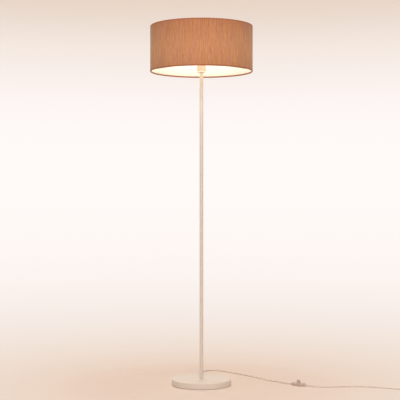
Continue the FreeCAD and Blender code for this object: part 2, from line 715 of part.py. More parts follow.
def centre_contact():
    """Sprung tongue that rises to the bulb's contact."""
    foot = CORE_TOP
    top = BULB_FOOT
    reach, knee, tip = CONTACT_REACH, CONTACT_REACH / 2, CONTACT_REACH / 4
    low_side = [(V(reach, 0, foot), 0), (V(knee, 0, foot), CONTACT_BEND),
                (V(tip, 0, top - CONTACT_THICK), CONTACT_BEND), (V(-tip, 0, top - CONTACT_THICK), 0)]
    high_side = [(V(-tip, 0, top), 0), (V(tip, 0, top), CONTACT_BEND + CONTACT_THICK),
                 (V(knee, 0, foot + CONTACT_THICK), CONTACT_BEND), (V(reach, 0, foot + CONTACT_THICK), 0)]
    outline = Part.Face(Part.Wire(rounded_edges(low_side + high_side, closed=True)))
    strip = outline.extrude(V(0, CONTACT_WIDTH, 0))
    return outward(moved(strip, y=-CONTACT_WIDTH / 2))


def terminal_screws():
    """Two screws under the core that hold the leads."""
    head_foot = CORE_UNDERSIDE - TERMINAL_HEAD_HEIGHT
    stem_top = CORE_UNDERSIDE + TERMINAL_STEM_LENGTH - THREAD_GAP
    stem_r = TERMINAL_STEM_DIA / 2 - THREAD_GAP
    screw = turned((0, head_foot), (TERMINAL_HEAD_DIA / 2, head_foot, FINE_ROUND),
                   (TERMINAL_HEAD_DIA / 2, CORE_UNDERSIDE), (stem_r, CORE_UNDERSIDE),
                   (stem_r, stem_top), (0, stem_top))
    half = TERMINAL_SLOT / 2
    slot = block((-TERMINAL_HEAD_DIA, -half, head_foot - PAST),
                 (TERMINAL_HEAD_DIA, half, head_foot + TERMINAL_SLOT))
    return mirrored_pair(moved(screw.cut(slot), x=TERMINAL_RADIUS))


def terminal_leads():
    """Two insulated leads from the cord's end out to the terminal screws."""
    cord_end = POLE_TOP + NECK_HEIGHT
    turn_z = (cord_end + CORE_UNDERSIDE - TERMINAL_HEAD_HEIGHT) / 2 + LEAD_DIA / 4
    screw_side = TERMINAL_RADIUS - TERMINAL_HEAD_DIA / 2 - LEAD_DIA / 2 - PRESS_GAP
    corners = [(V(LEAD_APART / 2, 0, cord_end), 0), (V(LEAD_APART / 2, 0, turn_z), LEAD_BEND),
               (V(screw_side, 0, turn_z), LEAD_BEND), (V(screw_side, 0, CORE_UNDERSIDE), 0)]
    return mirrored_pair(swept(rounded_edges(corners), LEAD_DIA / 2))


def shade_ring(face, way):
    """Threaded ring whose flange lies at one level and whose collar goes away from it."""
    bore = HOLDER_DIA / 2 + SHADE_RING_GAP
    outer = SHADE_RING_DIA / 2
    flange = face + way * SHADE_RING_FLANGE
    end = face + way * SHADE_RING_HEIGHT
    shape = turned((bore, face), (outer, face, FINE_ROUND), (outer, flange, FINE_ROUND),
                   (bore + SHADE_RING_COLLAR, flange), (bore + SHADE_RING_COLLAR, end, FINE_ROUND),
                   (bore, end))
    low, high = min(face, end) - PAST, max(face, end) + PAST
    groove = moved(ring(low, high, GRIP_DIA / 2), x=outer + GRIP_DIA / 2 - GRIP_DEPTH)
    return shape.cut(Part.makeCompound(round_about(groove, GRIP_COUNT)))


def lower_shade_ring():
    return shade_ring(FITTING_Z - TURN_GAP, -1)


def upper_shade_ring():
    return shade_ring(FITTING_Z + FITTING_THICK + TURN_GAP, 1)


# ---------------------------------------------------------------------- bulb
def glass_outline(inset):
    """Edges of the bulb's glass, from the neck up to the axis."""
    radius = BULB_DIA / 2 - inset
    neck_r = BULB_COLLAR_DIA / 2 - CAP_SHEET - PRESS_GAP - inset
    middle_z = BULB_FOOT + BULB_LENGTH - BULB_DIA / 2
    angle = math.radians(BULB_SHOULDER_ANGLE)
    touch = V(radius * math.cos(angle), 0, middle_z - radius * math.sin(angle))
    corner_z = touch.z - (touch.x - neck_r) / math.tan(angle)
    corner = V(neck_r, 0, corner_z)
    neck = rounded_edges([(V(neck_r, 0, GLASS_FOOT), 0), (corner, BULB_NECK_ROUND + inset), (touch, 0)])
    dome = Part.Arc(touch, V(radius, 0, middle_z), V(0, 0, middle_z + radius)).toShape()
    return neck + [dome]


def bulb_glass():
    """Frosted glass envelope, open at its neck."""
    outside = glass_outline(0)
    inside = glass_outline(BULB_GLASS)
    ends = []
    for pick in (0, -1):
        near = outside[pick].Vertexes[pick].Point
        far = inside[pick].Vertexes[pick].Point
        ends.append(Part.LineSegment(near, far).toShape())
    outline = Part.Wire(Part.__sortEdges__(outside + inside + ends))
    return outward(Part.Face(outline).revolve(ORIGIN, UP, 360))


def bulb_cap():
    """Screw cap of the bulb."""
    return screw_sheet(SCREW_DIA / 2, CAP_FOOT, CAP_TURNS, BULB_COLLAR_DIA / 2, CAP_RIM, CAP_SHEET)


def bulb_insulator():
    """Dark glass disc between the cap and its contact."""
    low = CAP_FOOT - INSULATOR_HEIGHT
    return turned((0, low), (INSULATOR_FOOT_DIA / 2, low, FINE_ROUND),
                  (SCREW_DIA / 2 - SCREW_DEPTH, CAP_FOOT), (0, CAP_FOOT))


def bulb_contact():
    """Soldered centre contact of the bulb."""
    top = BULB_FOOT + CONTACT_BUTTON_HEIGHT
    return turned((0, BULB_FOOT), (CONTACT_BUTTON_DIA / 2, BULB_FOOT, CONTACT_BUTTON_ROUND),
                  (CONTACT_BUTTON_DIA / 2, top), (0, top))


def bulb_stem():
    """Glass stem that closes the neck and carries the filaments."""
    flare_r = BULB_COLLAR_DIA / 2 - CAP_SHEET - 2 * PRESS_GAP - BULB_GLASS
    stem_r = STEM_DIA / 2
    high = GLASS_FOOT + STEM_HEIGHT
    return turned((0, GLASS_FOOT), (flare_r, GLASS_FOOT), (flare_r, GLASS_FOOT + STEM_FLARE_RIM),
                  (stem_r, GLASS_FOOT + STEM_FLARE_HEIGHT, STEM_FLARE_ROUND),
                  (stem_r, high, STEM_TOP_ROUND), (0, high))


def bulb_filaments():
    """Light sticks that lean out from the stem."""
    foot = V(STEM_DIA / 2 + FILAMENT_DIA / 2, 0, GLASS_FOOT + STEM_HEIGHT - FILAMENT_OVERLAP)
    lean = math.radians(FILAMENT_LEAN)
    end = foot + V(math.sin(lean), 0, math.cos(lean)) * FILAMENT_LENGTH
    return round_about(rod(foot, end, FILAMENT_DIA / 2), FILAMENT_COUNT, FIRST_FILAMENT_ANGLE)


# --------------------------------------------------------------------- shade
def arm_notches():
    """Notches in the lower hem, one for each arm of the spider."""
    half = ARM_WIRE_DIA / 2 + HEM_GAP
    level = SHADE_BOTTOM + ring_inset()
    start = V(TURNED_R - CLOTH_THICK - PAST, 0, level)
    end = V(RING_WIRE_R, 0, level)
    above = block((start.x, -half, level), (end.x, half, SHADE_BOTTOM + HEM_HEIGHT + PAST))
    return [notch for piece in (rod(start, end, half), above)
            for notch in round_about(piece, ARM_COUNT, FIRST_ARM_ANGLE)]


def shade_cloth():
    """Outer cloth, turned in over both wire rings and notched for the arms."""
    inner_turn = TURNED_R - CLOTH_THICK
    low, high = SHADE_BOTTOM, SHADE_TOP
    fold = HEM_ROUND - CLOTH_THICK
    cloth = turned((SHADE_R, low, HEM_ROUND), (SHADE_R, high, HEM_ROUND), (inner_turn, high, HEM_ROUND),
                   (inner_turn, high - HEM_HEIGHT), (TURNED_R, high - HEM_HEIGHT),
                   (TURNED_R, high - CLOTH_THICK, fold), (CLOTH_INNER_R, high - CLOTH_THICK, fold),
                   (CLOTH_INNER_R, low + CLOTH_THICK, fold), (TURNED_R, low + CLOTH_THICK, fold),
                   (TURNED_R, low + HEM_HEIGHT), (inner_turn, low + HEM_HEIGHT),
                   (inner_turn, low, HEM_ROUND))
    return cloth.cut(arm_notches())


def shade_liner():
    """Stiff white liner glued behind the cloth."""
    edge = CLOTH_THICK + HEM_ROUND
    return ring(SHADE_BOTTOM + edge, SHADE_TOP - edge, LINER_OUTER_R, LINER_INNER_R)


def wire_ring(level):
    """A ring of round wire."""
    return Part.makeTorus(RING_WIRE_R, RING_WIRE_DIA / 2, V(0, 0, level), UP)


def ring_inset():
    """From the shade's edge to the middle of its wire."""
    return CLOTH_THICK + HEM_GAP + RING_WIRE_DIA / 2


def top_wire_ring():
    return wire_ring(SHADE_TOP - ring_inset())


def bottom_wire_ring():
    return wire_ring(SHADE_BOTTOM + ring_inset())


def fitting_ring():
    """Flat ring that hangs the shade between the lampholder's rings."""
    return ring(FITTING_Z, FITTING_Z + FITTING_THICK, FITTING_DIA / 2, FITTING_BORE_R)


def spider_arms():
    """Wire arms, welded to the fitting ring and to the lower wire ring."""
    inner = V(FITTING_DIA / 2 - ARM_WELD, 0, FITTING_Z + FITTING_THICK / 2)
    outer = V(RING_WIRE_R - RING_WIRE_DIA / 2 + ARM_WELD, 0, SHADE_BOTTOM + ring_inset())
    corners = [(inner, 0), (outer - V(ARM_FLAT_END, 0, 0), ARM_BEND), (outer, 0)]
    arm = swept(rounded_edges(corners), ARM_WIRE_DIA / 2)
    return round_about(arm, ARM_COUNT, FIRST_ARM_ANGLE)


def back_seam():
    """Overlap of the cloth, a thin upright strip at the back."""
    half_angle = SEAM_WIDTH / SHADE_R / 2
    inner = SHADE_R + GLUE_GAP
    outer = inner + SEAM_THICK

    def at(radius, angle):
        return V(radius * math.sin(angle), radius * math.cos(angle), SHADE_BOTTOM + HEM_ROUND)

    edges = [Part.Arc(at(outer, -half_angle), at(outer, 0), at(outer, half_angle)).toShape(),
             Part.LineSegment(at(outer, half_angle), at(inner, half_angle)).toShape(),
             Part.Arc(at(inner, half_angle), at(inner, 0), at(inner, -half_angle)).toShape(),
             Part.LineSegment(at(inner, -half_angle), at(outer, -half_angle)).toShape()]
    return outward(Part.Face(Part.Wire(edges)).extrude(V(0, 0, SHADE_HEIGHT - 2 * HEM_ROUND)))


# -------------------------------------------------------------------- switch
def on_switch(shape):
    """A switch piece, turned and moved to where the switch lies."""
    return moved(spun(shape, SWITCH_TURN), SWITCH_CENTRE.x, SWITCH_CENTRE.y)


def switch_point(x, z):
    """A point on the switch's long axis, in the lamp's frame."""
    angle = math.radians(SWITCH_TURN)
    return SWITCH_CENTRE + V(x * math.cos(angle), x * math.sin(angle), z)


def boot_seats():
    """Round seats through both ends of the shells."""
    radius = BOOT_DIA / 2 + BOOT_SEAT_GAP
    inside = V(SWITCH_LENGTH / 2 - BOOT_INSIDE - PAST, 0, SWITCH_CORD_Z)
    outside = V(SWITCH_LENGTH / 2 + PAST, 0, SWITCH_CORD_Z)
    return mirrored_pair(rod(inside, outside, radius))


def at_shell_screws(shape):
    """The shape at each of the two shell screws, on a diagonal."""
    return mirrored_pair(moved(shape, SHELL_SCREW_X, -SHELL_SCREW_Y))


def switch_base():
    """Lower shell, with posts for the two screws and for the spring."""
    inner_length = SWITCH_LENGTH - 2 * SWITCH_WALL
    inner_width = SWITCH_WIDTH - 2 * SWITCH_WALL
    shell = oval(SWITCH_LENGTH, SWITCH_WIDTH, 0, SWITCH_SPLIT_Z)
    shell = shell.makeFillet(SWITCH_FOOT_ROUND, edges_at(shell, 0))
    shell = shell.cut(oval(inner_length, inner_width, SWITCH_WALL, SWITCH_SPLIT_Z + PAST))
    post = ring(SWITCH_WALL / 2, SWITCH_SPLIT_Z, SHELL_POST_DIA / 2)
    hole = ring(-PAST, SWITCH_SPLIT_Z + PAST, SHELL_SCREW_DIA / 2 + THREAD_GAP)
    recess = ring(-PAST, SCREW_HEAD_RECESS, SHELL_SCREW_HEAD_DIA / 2 + THREAD_GAP)
    shell = shell.fuse(at_shell_screws(post)).cut(at_shell_screws(hole) + at_shell_screws(recess))
    return on_switch(shell.cut(boot_seats()))


def switch_cover():
    """Upper shell with a rim round the button and two screw bosses."""
    inner_length = SWITCH_LENGTH - 2 * SWITCH_WALL
    inner_width = SWITCH_WIDTH - 2 * SWITCH_WALL
    roof = SWITCH_TOP_Z - SWITCH_WALL
    shell = oval(SWITCH_LENGTH, SWITCH_WIDTH, SWITCH_SPLIT_Z, SWITCH_TOP_Z)
    shell = shell.makeFillet(SWITCH_TOP_ROUND, edges_at(shell, SWITCH_TOP_Z))
    room = oval(inner_length, inner_width, SWITCH_SPLIT_Z - PAST, roof)
    shell = shell.cut(room.makeFillet(SWITCH_TOP_ROUND - SWITCH_WALL, edges_at(room, roof)))
    hole_r = BUTTON_DIA / 2 + MOVING_GAP
    rim_r = hole_r + COLLAR_WALL
    rim_top = SWITCH_TOP_Z + COLLAR_HEIGHT
    rim = turned((0, roof + ROOF_OVERLAP), (rim_r, roof + ROOF_OVERLAP), (rim_r, rim_top, COLLAR_ROUND),
                 (0, rim_top))
    boss = ring(SWITCH_SPLIT_Z, roof + ROOF_OVERLAP, SHELL_POST_DIA / 2)
    button_hole = ring(SWITCH_SPLIT_Z - PAST, rim_top + PAST, hole_r)
    screw_hole = ring(SWITCH_SPLIT_Z - PAST, SCREW_HEAD_RECESS + SHELL_SCREW_LENGTH + SCREW_TIP_ROOM,
                      SHELL_SCREW_DIA / 2 + THREAD_GAP)
    shell = shell.fuse([rim] + at_shell_screws(boss))
    return on_switch(shell.cut([button_hole] + at_shell_screws(screw_hole) + boot_seats()))


def flange_top():
    """Top of the button's flange, just under the cover's roof."""
    return SWITCH_TOP_Z - SWITCH_WALL - MOVING_GAP


def switch_button():
    """Tall round push button with a flange that keeps it in."""
    top = flange_top()
    low = top - BUTTON_FLANGE_THICK
    flange_r, body_r, bore_r = BUTTON_FLANGE_DIA / 2, BUTTON_DIA / 2, BUTTON_BORE_DIA / 2
    return on_switch(turned((bore_r, low), (flange_r, low), (flange_r, top), (body_r, top),
                            (body_r, BUTTON_TOP_Z, BUTTON_ROUND), (0, BUTTON_TOP_Z),
                            (0, BUTTON_BORE_TOP_Z), (bore_r, BUTTON_BORE_TOP_Z)))


def bridge_foot():
    """Underside of the contact bridge with the button up."""
    return flange_top() - BUTTON_FLANGE_THICK - BRIDGE_THICK


def switch_contact_bridge():
    """Brass ring under the button that joins the two contacts."""
    return on_switch(ring(bridge_foot(), bridge_foot() + BRIDGE_THICK, BRIDGE_DIA / 2,
                          BUTTON_BORE_DIA / 2))


def switch_mechanism():
    """Insulating block on the shell's floor, with the spring's post."""
    half_l, half_w = MECHANISM_LENGTH / 2, MECHANISM_WIDTH / 2
    bed = block((-half_l, -half_w, SWITCH_WALL), (half_l, half_w, MECHANISM_TOP_Z))
    post = ring(SWITCH_WALL, POST_TOP_Z, POST_DIA / 2)
    room = ring(0, MECHANISM_TOP_Z + PAST, SHELL_POST_DIA / 2 + MOVING_GAP)
    return on_switch(bed.fuse(post).cut(at_shell_screws(room)))


def switch_spring():
    """Return spring between the mechanism and the button's bore."""
    radius = (SPRING_DIA - SPRING_WIRE) / 2
    low = MECHANISM_TOP_Z + SPRING_WIRE / 2 + PRESS_GAP
    high = BUTTON_BORE_TOP_Z - SPRING_WIRE / 2 - PRESS_GAP
    whole = SPRING_TURNS * 2 * math.pi

    def place(angle):
        return V(radius * math.cos(angle), radius * math.sin(angle), low + (high - low) * angle / whole)

    return on_switch(swept(wound_edges(place, SPRING_TURNS * 4), SPRING_WIRE / 2))


def switch_contacts():
    """Two brass strips, each with a raised contact pad at its inner end."""
    low = MECHANISM_TOP_Z
    inner_end = CONTACT_PAD_RADIUS - CONTACT_PAD_DIA / 2 - CONTACT_PAD_MARGIN
    cord_end = SWITCH_LENGTH / 2 - CORD_END_LENGTH
    strip = block((inner_end, -STRIP_WIDTH / 2, low), (cord_end, STRIP_WIDTH / 2, low + STRIP_THICK))
    pad_top = bridge_foot() - BUTTON_TRAVEL - CONTACT_PAD_GAP
    pad = moved(ring(low, pad_top, CONTACT_PAD_DIA / 2), x=CONTACT_PAD_RADIUS)
    return [on_switch(piece) for piece in mirrored_pair(strip.fuse(pad))]


def switch_screws():
    """Two countersunk screws that close the shells from below."""
    head_low = SCREW_HEAD_RECESS - SHELL_SCREW_HEAD_HEIGHT
    tip = SCREW_HEAD_RECESS + SHELL_SCREW_LENGTH
    head_r, stem_r = SHELL_SCREW_HEAD_DIA / 2, SHELL_SCREW_DIA / 2
    screw = turned((0, head_low), (head_r, head_low, SHELL_SCREW_ROUND), (head_r, SCREW_HEAD_RECESS),
                   (stem_r, SCREW_HEAD_RECESS), (stem_r, tip), (0, tip))
    return [on_switch(piece) for piece in at_shell_screws(screw)]


def switch_clamps():
    """Saddle over each cord end, inside the shells."""
    half_w, half_s = CLAMP_WIDTH / 2, CLAMP_SPAN / 2
    middle_x = SWITCH_LENGTH / 2 - CLAMP_FROM_END
    top = SWITCH_CORD_Z + CORD_DIA / 2 + PRESS_GAP + CLAMP_THICK
    saddle = block((middle_x - half_w, -half_s, SWITCH_WALL), (middle_x + half_w, half_s, top))
    inside, outside = V(0, 0, SWITCH_CORD_Z), V(SWITCH_LENGTH, 0, SWITCH_CORD_Z)
    saddle = saddle.cut(rod(inside, outside, CORD_DIA / 2 + PRESS_GAP))
    under = CORD_DIA / 2 + PRESS_GAP
    saddle = saddle.cut(block((0, -under, 0), (SWITCH_LENGTH, under, SWITCH_CORD_Z)))
    return [on_switch(piece) for piece in mirrored_pair(saddle)]


def switch_boots():
    """Tapered reliefs where the cord enters and leaves the switch."""
    half = SWITCH_LENGTH / 2
    inside = V(half - BOOT_INSIDE, 0, SWITCH_CORD_Z)
    wall = V(half, 0, SWITCH_CORD_Z)
    end = V(half + BOOT_LENGTH, 0, SWITCH_CORD_Z)
    boot = rod(inside, wall, BOOT_DIA / 2).fuse(cone(wall, end, BOOT_DIA / 2, BOOT_END_DIA / 2))
    past = V(PAST, 0, 0)
    boot = boot.cut(rod(inside - past, end + past, CORD_DIA / 2 + RELIEF_BORE_GAP))
    return [on_switch(piece) for piece in mirrored_pair(boot.removeSplitter())]


def switch_cord_ends():
    """The two cord ends inside the boots and shells."""
    half = SWITCH_LENGTH / 2
    start = V(half - CORD_END_LENGTH, 0, SWITCH_CORD_Z)
    end = V(half + BOOT_LENGTH, 0, SWITCH_CORD_Z)
    return [on_switch(piece) for piece in mirrored_pair(rod(start, end, CORD_DIA / 2))]


# ----------------------------------------------------- free cord, coil, plug
def boot_end(side):
    """The end of a switch boot; side is -1 towards the lamp and 1 away."""
    return switch_point(side * (SWITCH_LENGTH / 2 + BOOT_LENGTH), SWITCH_CORD_Z)


def boot_run(side, length):
    """The point straight out from a switch boot."""
    return switch_point(side * (SWITCH_LENGTH / 2 + BOOT_LENGTH + length), SWITCH_CORD_Z)


def lamp_side_route():
    """The route from the base's relief to the switch."""
    start = V(0, BASE_DIA / 2 + RELIEF_LENGTH, CORD_EXIT_Z)
    straight_out = start + V(0, FIRST_RUN_FROM_BASE, 0)
    points = [V(*point) for point in LAMP_SIDE_POINTS]
    return [start, straight_out] + points + [boot_run(-1, LAST_RUN_TO_SWITCH), boot_end(-1)]


def coil_mouth():
    """Where the straight lead-in of the coil begins."""
    return V(COIL_CENTRE.x - COIL_LEAD_IN, COIL_CENTRE.y - COIL_OUTER_R, COIL_LOW_Z)


def plug_side_route():
    """The route from the switch to the coil."""
    points = [V(*point) for point in PLUG_SIDE_POINTS]
    before_coil = coil_mouth() - V(LAST_RUN_TO_COIL, 0, 0)
    return [boot_end(1), boot_run(1, FIRST_RUN_FROM_SWITCH)] + points + [before_coil, coil_mouth()]


def cord_lamp_side():
    """Free cord from the base's relief to the switch."""
    route = lamp_side_route()
    solid = swept(rounded_edges(route_corners(route)), CORD_DIA / 2)
    say_route("cord_lamp_side", route, solid)
    return solid


def cord_plug_side():
    """Free cord from the switch to the coil."""
    route = plug_side_route()
    solid = swept(rounded_edges(route_corners(route)), CORD_DIA / 2)
    say_route("cord_plug_side", route, solid)
    return solid


def coil_place(angle):
    """A point of the coil: it spirals in, climbs a layer, and spirals out."""
    half_way = COIL_TURNS * math.pi
    radius = COIL_INNER_R + COIL_PITCH * abs(angle - half_way) / (2 * math.pi)
    climb = min(max((angle - half_way + math.pi / 2) / math.pi, 0), 1)
    level = COIL_LOW_Z + COIL_PITCH * (1 - math.cos(math.pi * climb)) / 2
    turn = angle - math.pi / 2
    return COIL_CENTRE + V(radius * math.cos(turn), radius * math.sin(turn), level)


def tail_corners():
    """From the coil's last turn down to the plug's boot, with arc radii."""
    start = coil_place(COIL_TURNS * 2 * math.pi)
    flat = start + V(TAIL_FLAT, 0, 0)
    low = V(flat.x + TAIL_FALL, start.y, PLUG_Z)
    end = low + V(TAIL_END, 0, 0)
    points = [start, flat, low, end]
    return route_corners(points)


def cord_coil():
    """Four turns in two layers as one unbroken tube, with straight ends."""
    straight = V(1, 0, 0)
    turns = wound_edges(coil_place, COIL_TURNS * 4, straight, straight)
    lead_in = [Part.LineSegment(coil_mouth(), turns[0].Vertexes[0].Point).toShape()]
    tail = rounded_edges(tail_corners())
    solid = swept(lead_in + turns + tail, CORD_DIA / 2)
    steps = COIL_TURNS * 90
    points = [coil_place(COIL_TURNS * 2 * math.pi * step / steps) for step in range(steps + 1)]
    length = sum(edge.Length for edge in lead_in + turns + tail)
    section = math.pi * (CORD_DIA / 2) ** 2
    print(f"cord_coil: length {length:.1f}, least gap {least_gap(points, CORD_DIA):.2f}, "
          f"inner radius {COIL_INNER_R:.1f}")
    print(f"cord_coil: volume {solid.Volume:.1f}, section x length {section * length:.1f}")
    return solid


def cord_tie():
    """Narrow strap round the coil's four turns."""
    half = COIL_PITCH / 2 + CORD_DIA / 2 + TIE_GAP
    middle_z = (COIL_LOW_Z + COIL_HIGH_Z) / 2
    solids = []
    for reach, rounding in ((half + TIE_THICK, TIE_ROUND + TIE_THICK), (half, TIE_ROUND)):
        corners = [(V(-TIE_WIDTH / 2, COIL_MIDDLE_RADIUS + y * reach, middle_z + z * reach), rounding)
                   for y, z in ((-1, -1), (1, -1), (1, 1), (-1, 1))]
        outline = Part.Face(Part.Wire(rounded_edges(corners, closed=True)))
        solids.append(outward(outline.extrude(V(TIE_WIDTH, 0, 0))))
    strap = solids[0].cut(solids[1])
    return moved(spun(strap, TIE_ANGLE - 90), COIL_CENTRE.x, COIL_CENTRE.y)


def plug_rear():
    """Where the cord ends in the plug's boot."""
    return tail_corners()[-1][0]


def plug_section(x, width, thick, rounding):
    """Rounded rectangle across the plug at one place along X."""
    rear = plug_rear()
    corners = [(V(x, rear.y + y * width / 2, PLUG_Z + z * thick / 2), rounding)
               for y, z in ((-1, -1), (1, -1), (1, 1), (-1, 1))]
    return Part.Wire(rounded_edges(corners, closed=True))


def plug_back_x():
    """The rear of the plug's body."""
    return plug_rear().x + PLUG_BOOT_LENGTH


def plug_body():
    """Flat moulded body, widest at its pin face."""
    back = plug_back_x()
    sections = [plug_section(back, PLUG_REAR_WIDTH, PLUG_REAR_THICK, PLUG_REAR_ROUND),
                plug_section(back + PLUG_WAIST_AT, PLUG_WAIST, PLUG_THICK, PLUG_WAIST_ROUND),
                plug_section(back + PLUG_LENGTH, PLUG_WIDTH, PLUG_THICK, PLUG_FACE_ROUND)]
    body = outward(Part.makeLoft(sections, True, True))
    reach = V(PIN_IN_BODY + PAST, 0, 0)
    return body.cut([rod(start, start + reach, PIN_ROOT_DIA / 2 + PRESS_GAP) for start in pin_starts()])


def pin_starts():
    """The inner end of each pin."""
    inside = plug_back_x() + PLUG_LENGTH - PIN_IN_BODY
    return [V(inside, plug_rear().y + side * PIN_APART / 2, PLUG_Z) for side in (-1, 1)]


def on_pins(shape):
    """A piece drawn along Z, laid on each pin's place and turned along X."""
    lying = spun(shape, 90, V(0, 1, 0))
    return [moved(lying, start.x, start.y, start.z) for start in pin_starts()]


def plug_boot():
    """Tapered relief on the plug's rear."""
    rear = plug_rear()
    end = V(plug_back_x(), rear.y, PLUG_Z)
    return cone(rear, end, PLUG_BOOT_END_DIA / 2, PLUG_BOOT_DIA / 2)


def plug_pins():
    """Two round pins, each with a thin root in the body and a neck for its sleeve."""
    radius = PIN_DIA / 2
    root = PIN_ROOT_DIA / 2
    neck = radius - SLEEVE_WALL
    sleeve_end = PIN_IN_BODY + SLEEVE_LENGTH
    tip = PIN_IN_BODY + PIN_LENGTH
    return on_pins(turned((0, 0), (root, 0), (root, PIN_IN_BODY), (neck, PIN_IN_BODY),
                          (neck, sleeve_end), (radius, sleeve_end), (radius, tip, PIN_TIP_ROUND),
                          (0, tip)))


def plug_pin_sleeves():
    """Insulating sleeve round the neck of each pin, flush with the pin."""
    outer = PIN_DIA / 2
    return on_pins(ring(PIN_IN_BODY, PIN_IN_BODY + SLEEVE_LENGTH, outer, outer - SLEEVE_WALL))


# -------------------------------------------------------------------- output
PIECES = {
    "base_cover": base_cover, "base_weight": base_weight, "base_mat": base_mat,
    "foot_washer": foot_washer, "foot_lock_washer": foot_lock_washer, "foot_nut": foot_nut,
    "foot_nipple": foot_nipple, "cord_relief": cord_relief, "tube_inserts": tube_inserts,
    "joint_nipples": joint_nipples, "holder_nipple": holder_nipple, "inner_cord": inner_cord,
    "holder_cap": holder_cap, "holder_skirt": holder_skirt, "holder_core": holder_core,
    "screw_shell": screw_shell, "centre_contact": centre_contact,
    "terminal_screws": terminal_screws, "terminal_leads": terminal_leads,
    "lower_shade_ring": lower_shade_ring, "upper_shade_ring": upper_shade_ring,
    "bulb_glass": bulb_glass, "bulb_cap": bulb_cap, "bulb_insulator": bulb_insulator,
    "bulb_contact": bulb_contact, "bulb_stem": bulb_stem, "bulb_filaments": bulb_filaments,
    "shade_cloth": shade_cloth, "shade_liner": shade_liner, "top_wire_ring": top_wire_ring,
    "bottom_wire_ring": bottom_wire_ring, "fitting_ring": fitting_ring,
    "spider_arms": spider_arms, "back_seam": back_seam,
    "switch_base": switch_base, "switch_cover": switch_cover, "switch_button": switch_button,
    "switch_contact_bridge": switch_contact_bridge, "switch_mechanism": switch_mechanism,
    "switch_spring": switch_spring, "switch_contacts": switch_contacts,
    "switch_screws": switch_screws, "switch_clamps": switch_clamps,
    "switch_boots": switch_boots, "switch_cord_ends": switch_cord_ends,
    "cord_lamp_side": cord_lamp_side, "cord_plug_side": cord_plug_side, "cord_coil": cord_coil,
    "cord_tie": cord_tie, "plug_body": plug_body, "plug_boot": plug_boot,
    "plug_pins": plug_pins, "plug_pin_sleeves": plug_pin_sleeves,
}


def write_piece(name, shape):
    """Write one node's STEP file and print its size."""
    solids = shape if isinstance(shape, list) else [shape]
    whole = Part.makeCompound(solids) if len(solids) > 1 else solids[0]
    if not whole.isValid():
        print(f"{name}: not valid")
    box = whole.BoundBox
    print(f"{name}: {len(whole.Solids)} solids, volume {whole.Volume:.0f}, "
          f"z {box.ZMin:.2f} to {box.ZMax:.2f}")
    whole.exportStep(f"parts/{name}.step")


def main():
    os.makedirs("parts", exist_ok=True)
    for index, name in enumerate(POLE_NAMES):
        write_piece(name, pole_section(index))
    for name, make in PIECES.items():
        write_piece(name, make())


main()
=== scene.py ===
# %% [markdown]
# # A column floor lamp, dressed for its picture
#
# The lamp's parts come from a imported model: each one already has its real
# size and its real place. This lesson gives them their looks. It makes the
# cloth of the drum shade and the cord on the floor, then the finishes of
# enamel, cloth, plastic, brass and glass, and last the floor, the light and
# the camera. Lengths are in metres, +Z is up, and the lamp stands on the
# origin.

# %% Load the lamp's parts
import json
import math

import bmesh
import bpy
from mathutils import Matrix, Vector, noise


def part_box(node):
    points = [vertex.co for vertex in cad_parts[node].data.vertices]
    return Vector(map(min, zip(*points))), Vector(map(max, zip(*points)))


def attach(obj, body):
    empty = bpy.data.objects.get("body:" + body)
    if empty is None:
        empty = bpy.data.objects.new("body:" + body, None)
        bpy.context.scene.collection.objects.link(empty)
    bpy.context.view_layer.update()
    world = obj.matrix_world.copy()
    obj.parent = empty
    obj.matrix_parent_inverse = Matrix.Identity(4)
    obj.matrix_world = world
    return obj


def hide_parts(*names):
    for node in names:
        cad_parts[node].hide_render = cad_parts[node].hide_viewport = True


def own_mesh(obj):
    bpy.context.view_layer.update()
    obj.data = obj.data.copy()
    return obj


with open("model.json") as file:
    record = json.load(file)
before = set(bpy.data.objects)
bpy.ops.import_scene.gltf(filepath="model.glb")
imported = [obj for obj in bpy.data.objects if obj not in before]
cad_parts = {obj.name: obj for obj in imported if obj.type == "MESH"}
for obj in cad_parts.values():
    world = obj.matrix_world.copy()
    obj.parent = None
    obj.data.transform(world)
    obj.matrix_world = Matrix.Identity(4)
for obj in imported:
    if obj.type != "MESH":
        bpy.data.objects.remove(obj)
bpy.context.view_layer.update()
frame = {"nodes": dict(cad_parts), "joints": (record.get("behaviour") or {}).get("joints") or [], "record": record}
parts = frame["nodes"]

# %% [markdown]
# ## The camera
#
# A tall lamp looks straight in a picture only if the camera is held level, so
# that upright lines stay upright. This camera stands well back with a short
# telephoto lens, level with the middle of the pole. Its picture is a little
# taller than the lamp and has the lamp near its middle, so it needs no shift.

# %% The camera
LENS_MM = 94.65
SENSOR_MM = 36.0
CAMERA_PLACE = (-0.0063, -4.62, 0.8112)
CLIP_NEAR = 0.1
CLIP_FAR = 60

camera_data = bpy.data.cameras.new("camera")
camera_data.lens = LENS_MM
camera_data.sensor_width = SENSOR_MM
camera_data.clip_start = CLIP_NEAR
camera_data.clip_end = CLIP_FAR
camera = bpy.data.objects.new("camera", camera_data)
camera.location = CAMERA_PLACE
camera.rotation_euler = (math.pi / 2, 0, 0)
bpy.context.collection.objects.link(camera)
bpy.context.scene.camera = camera
print("camera", CAMERA_PLACE, "lens", LENS_MM)

# %% [markdown]
# ## The cord on the floor
#
# A mains cord is a round flexible tube of fixed length. A mesh tube could be
# bent into place, but a curve is easier: a NURBS spline follows a few listed
# points, and its bevel gives it thickness. The spline runs straight out of
# the rubber relief behind the base, swings round to the right, and runs
# along the floor to the foot switch. The points are the same as those that
# the lamp's own cord follows.

# %% A helper for cords
CORD_DIAMETER = 0.0056
CORD_SIDES = 6
CORD_STEPS = 6
FLOOR_LEVEL = CORD_DIAMETER / 2


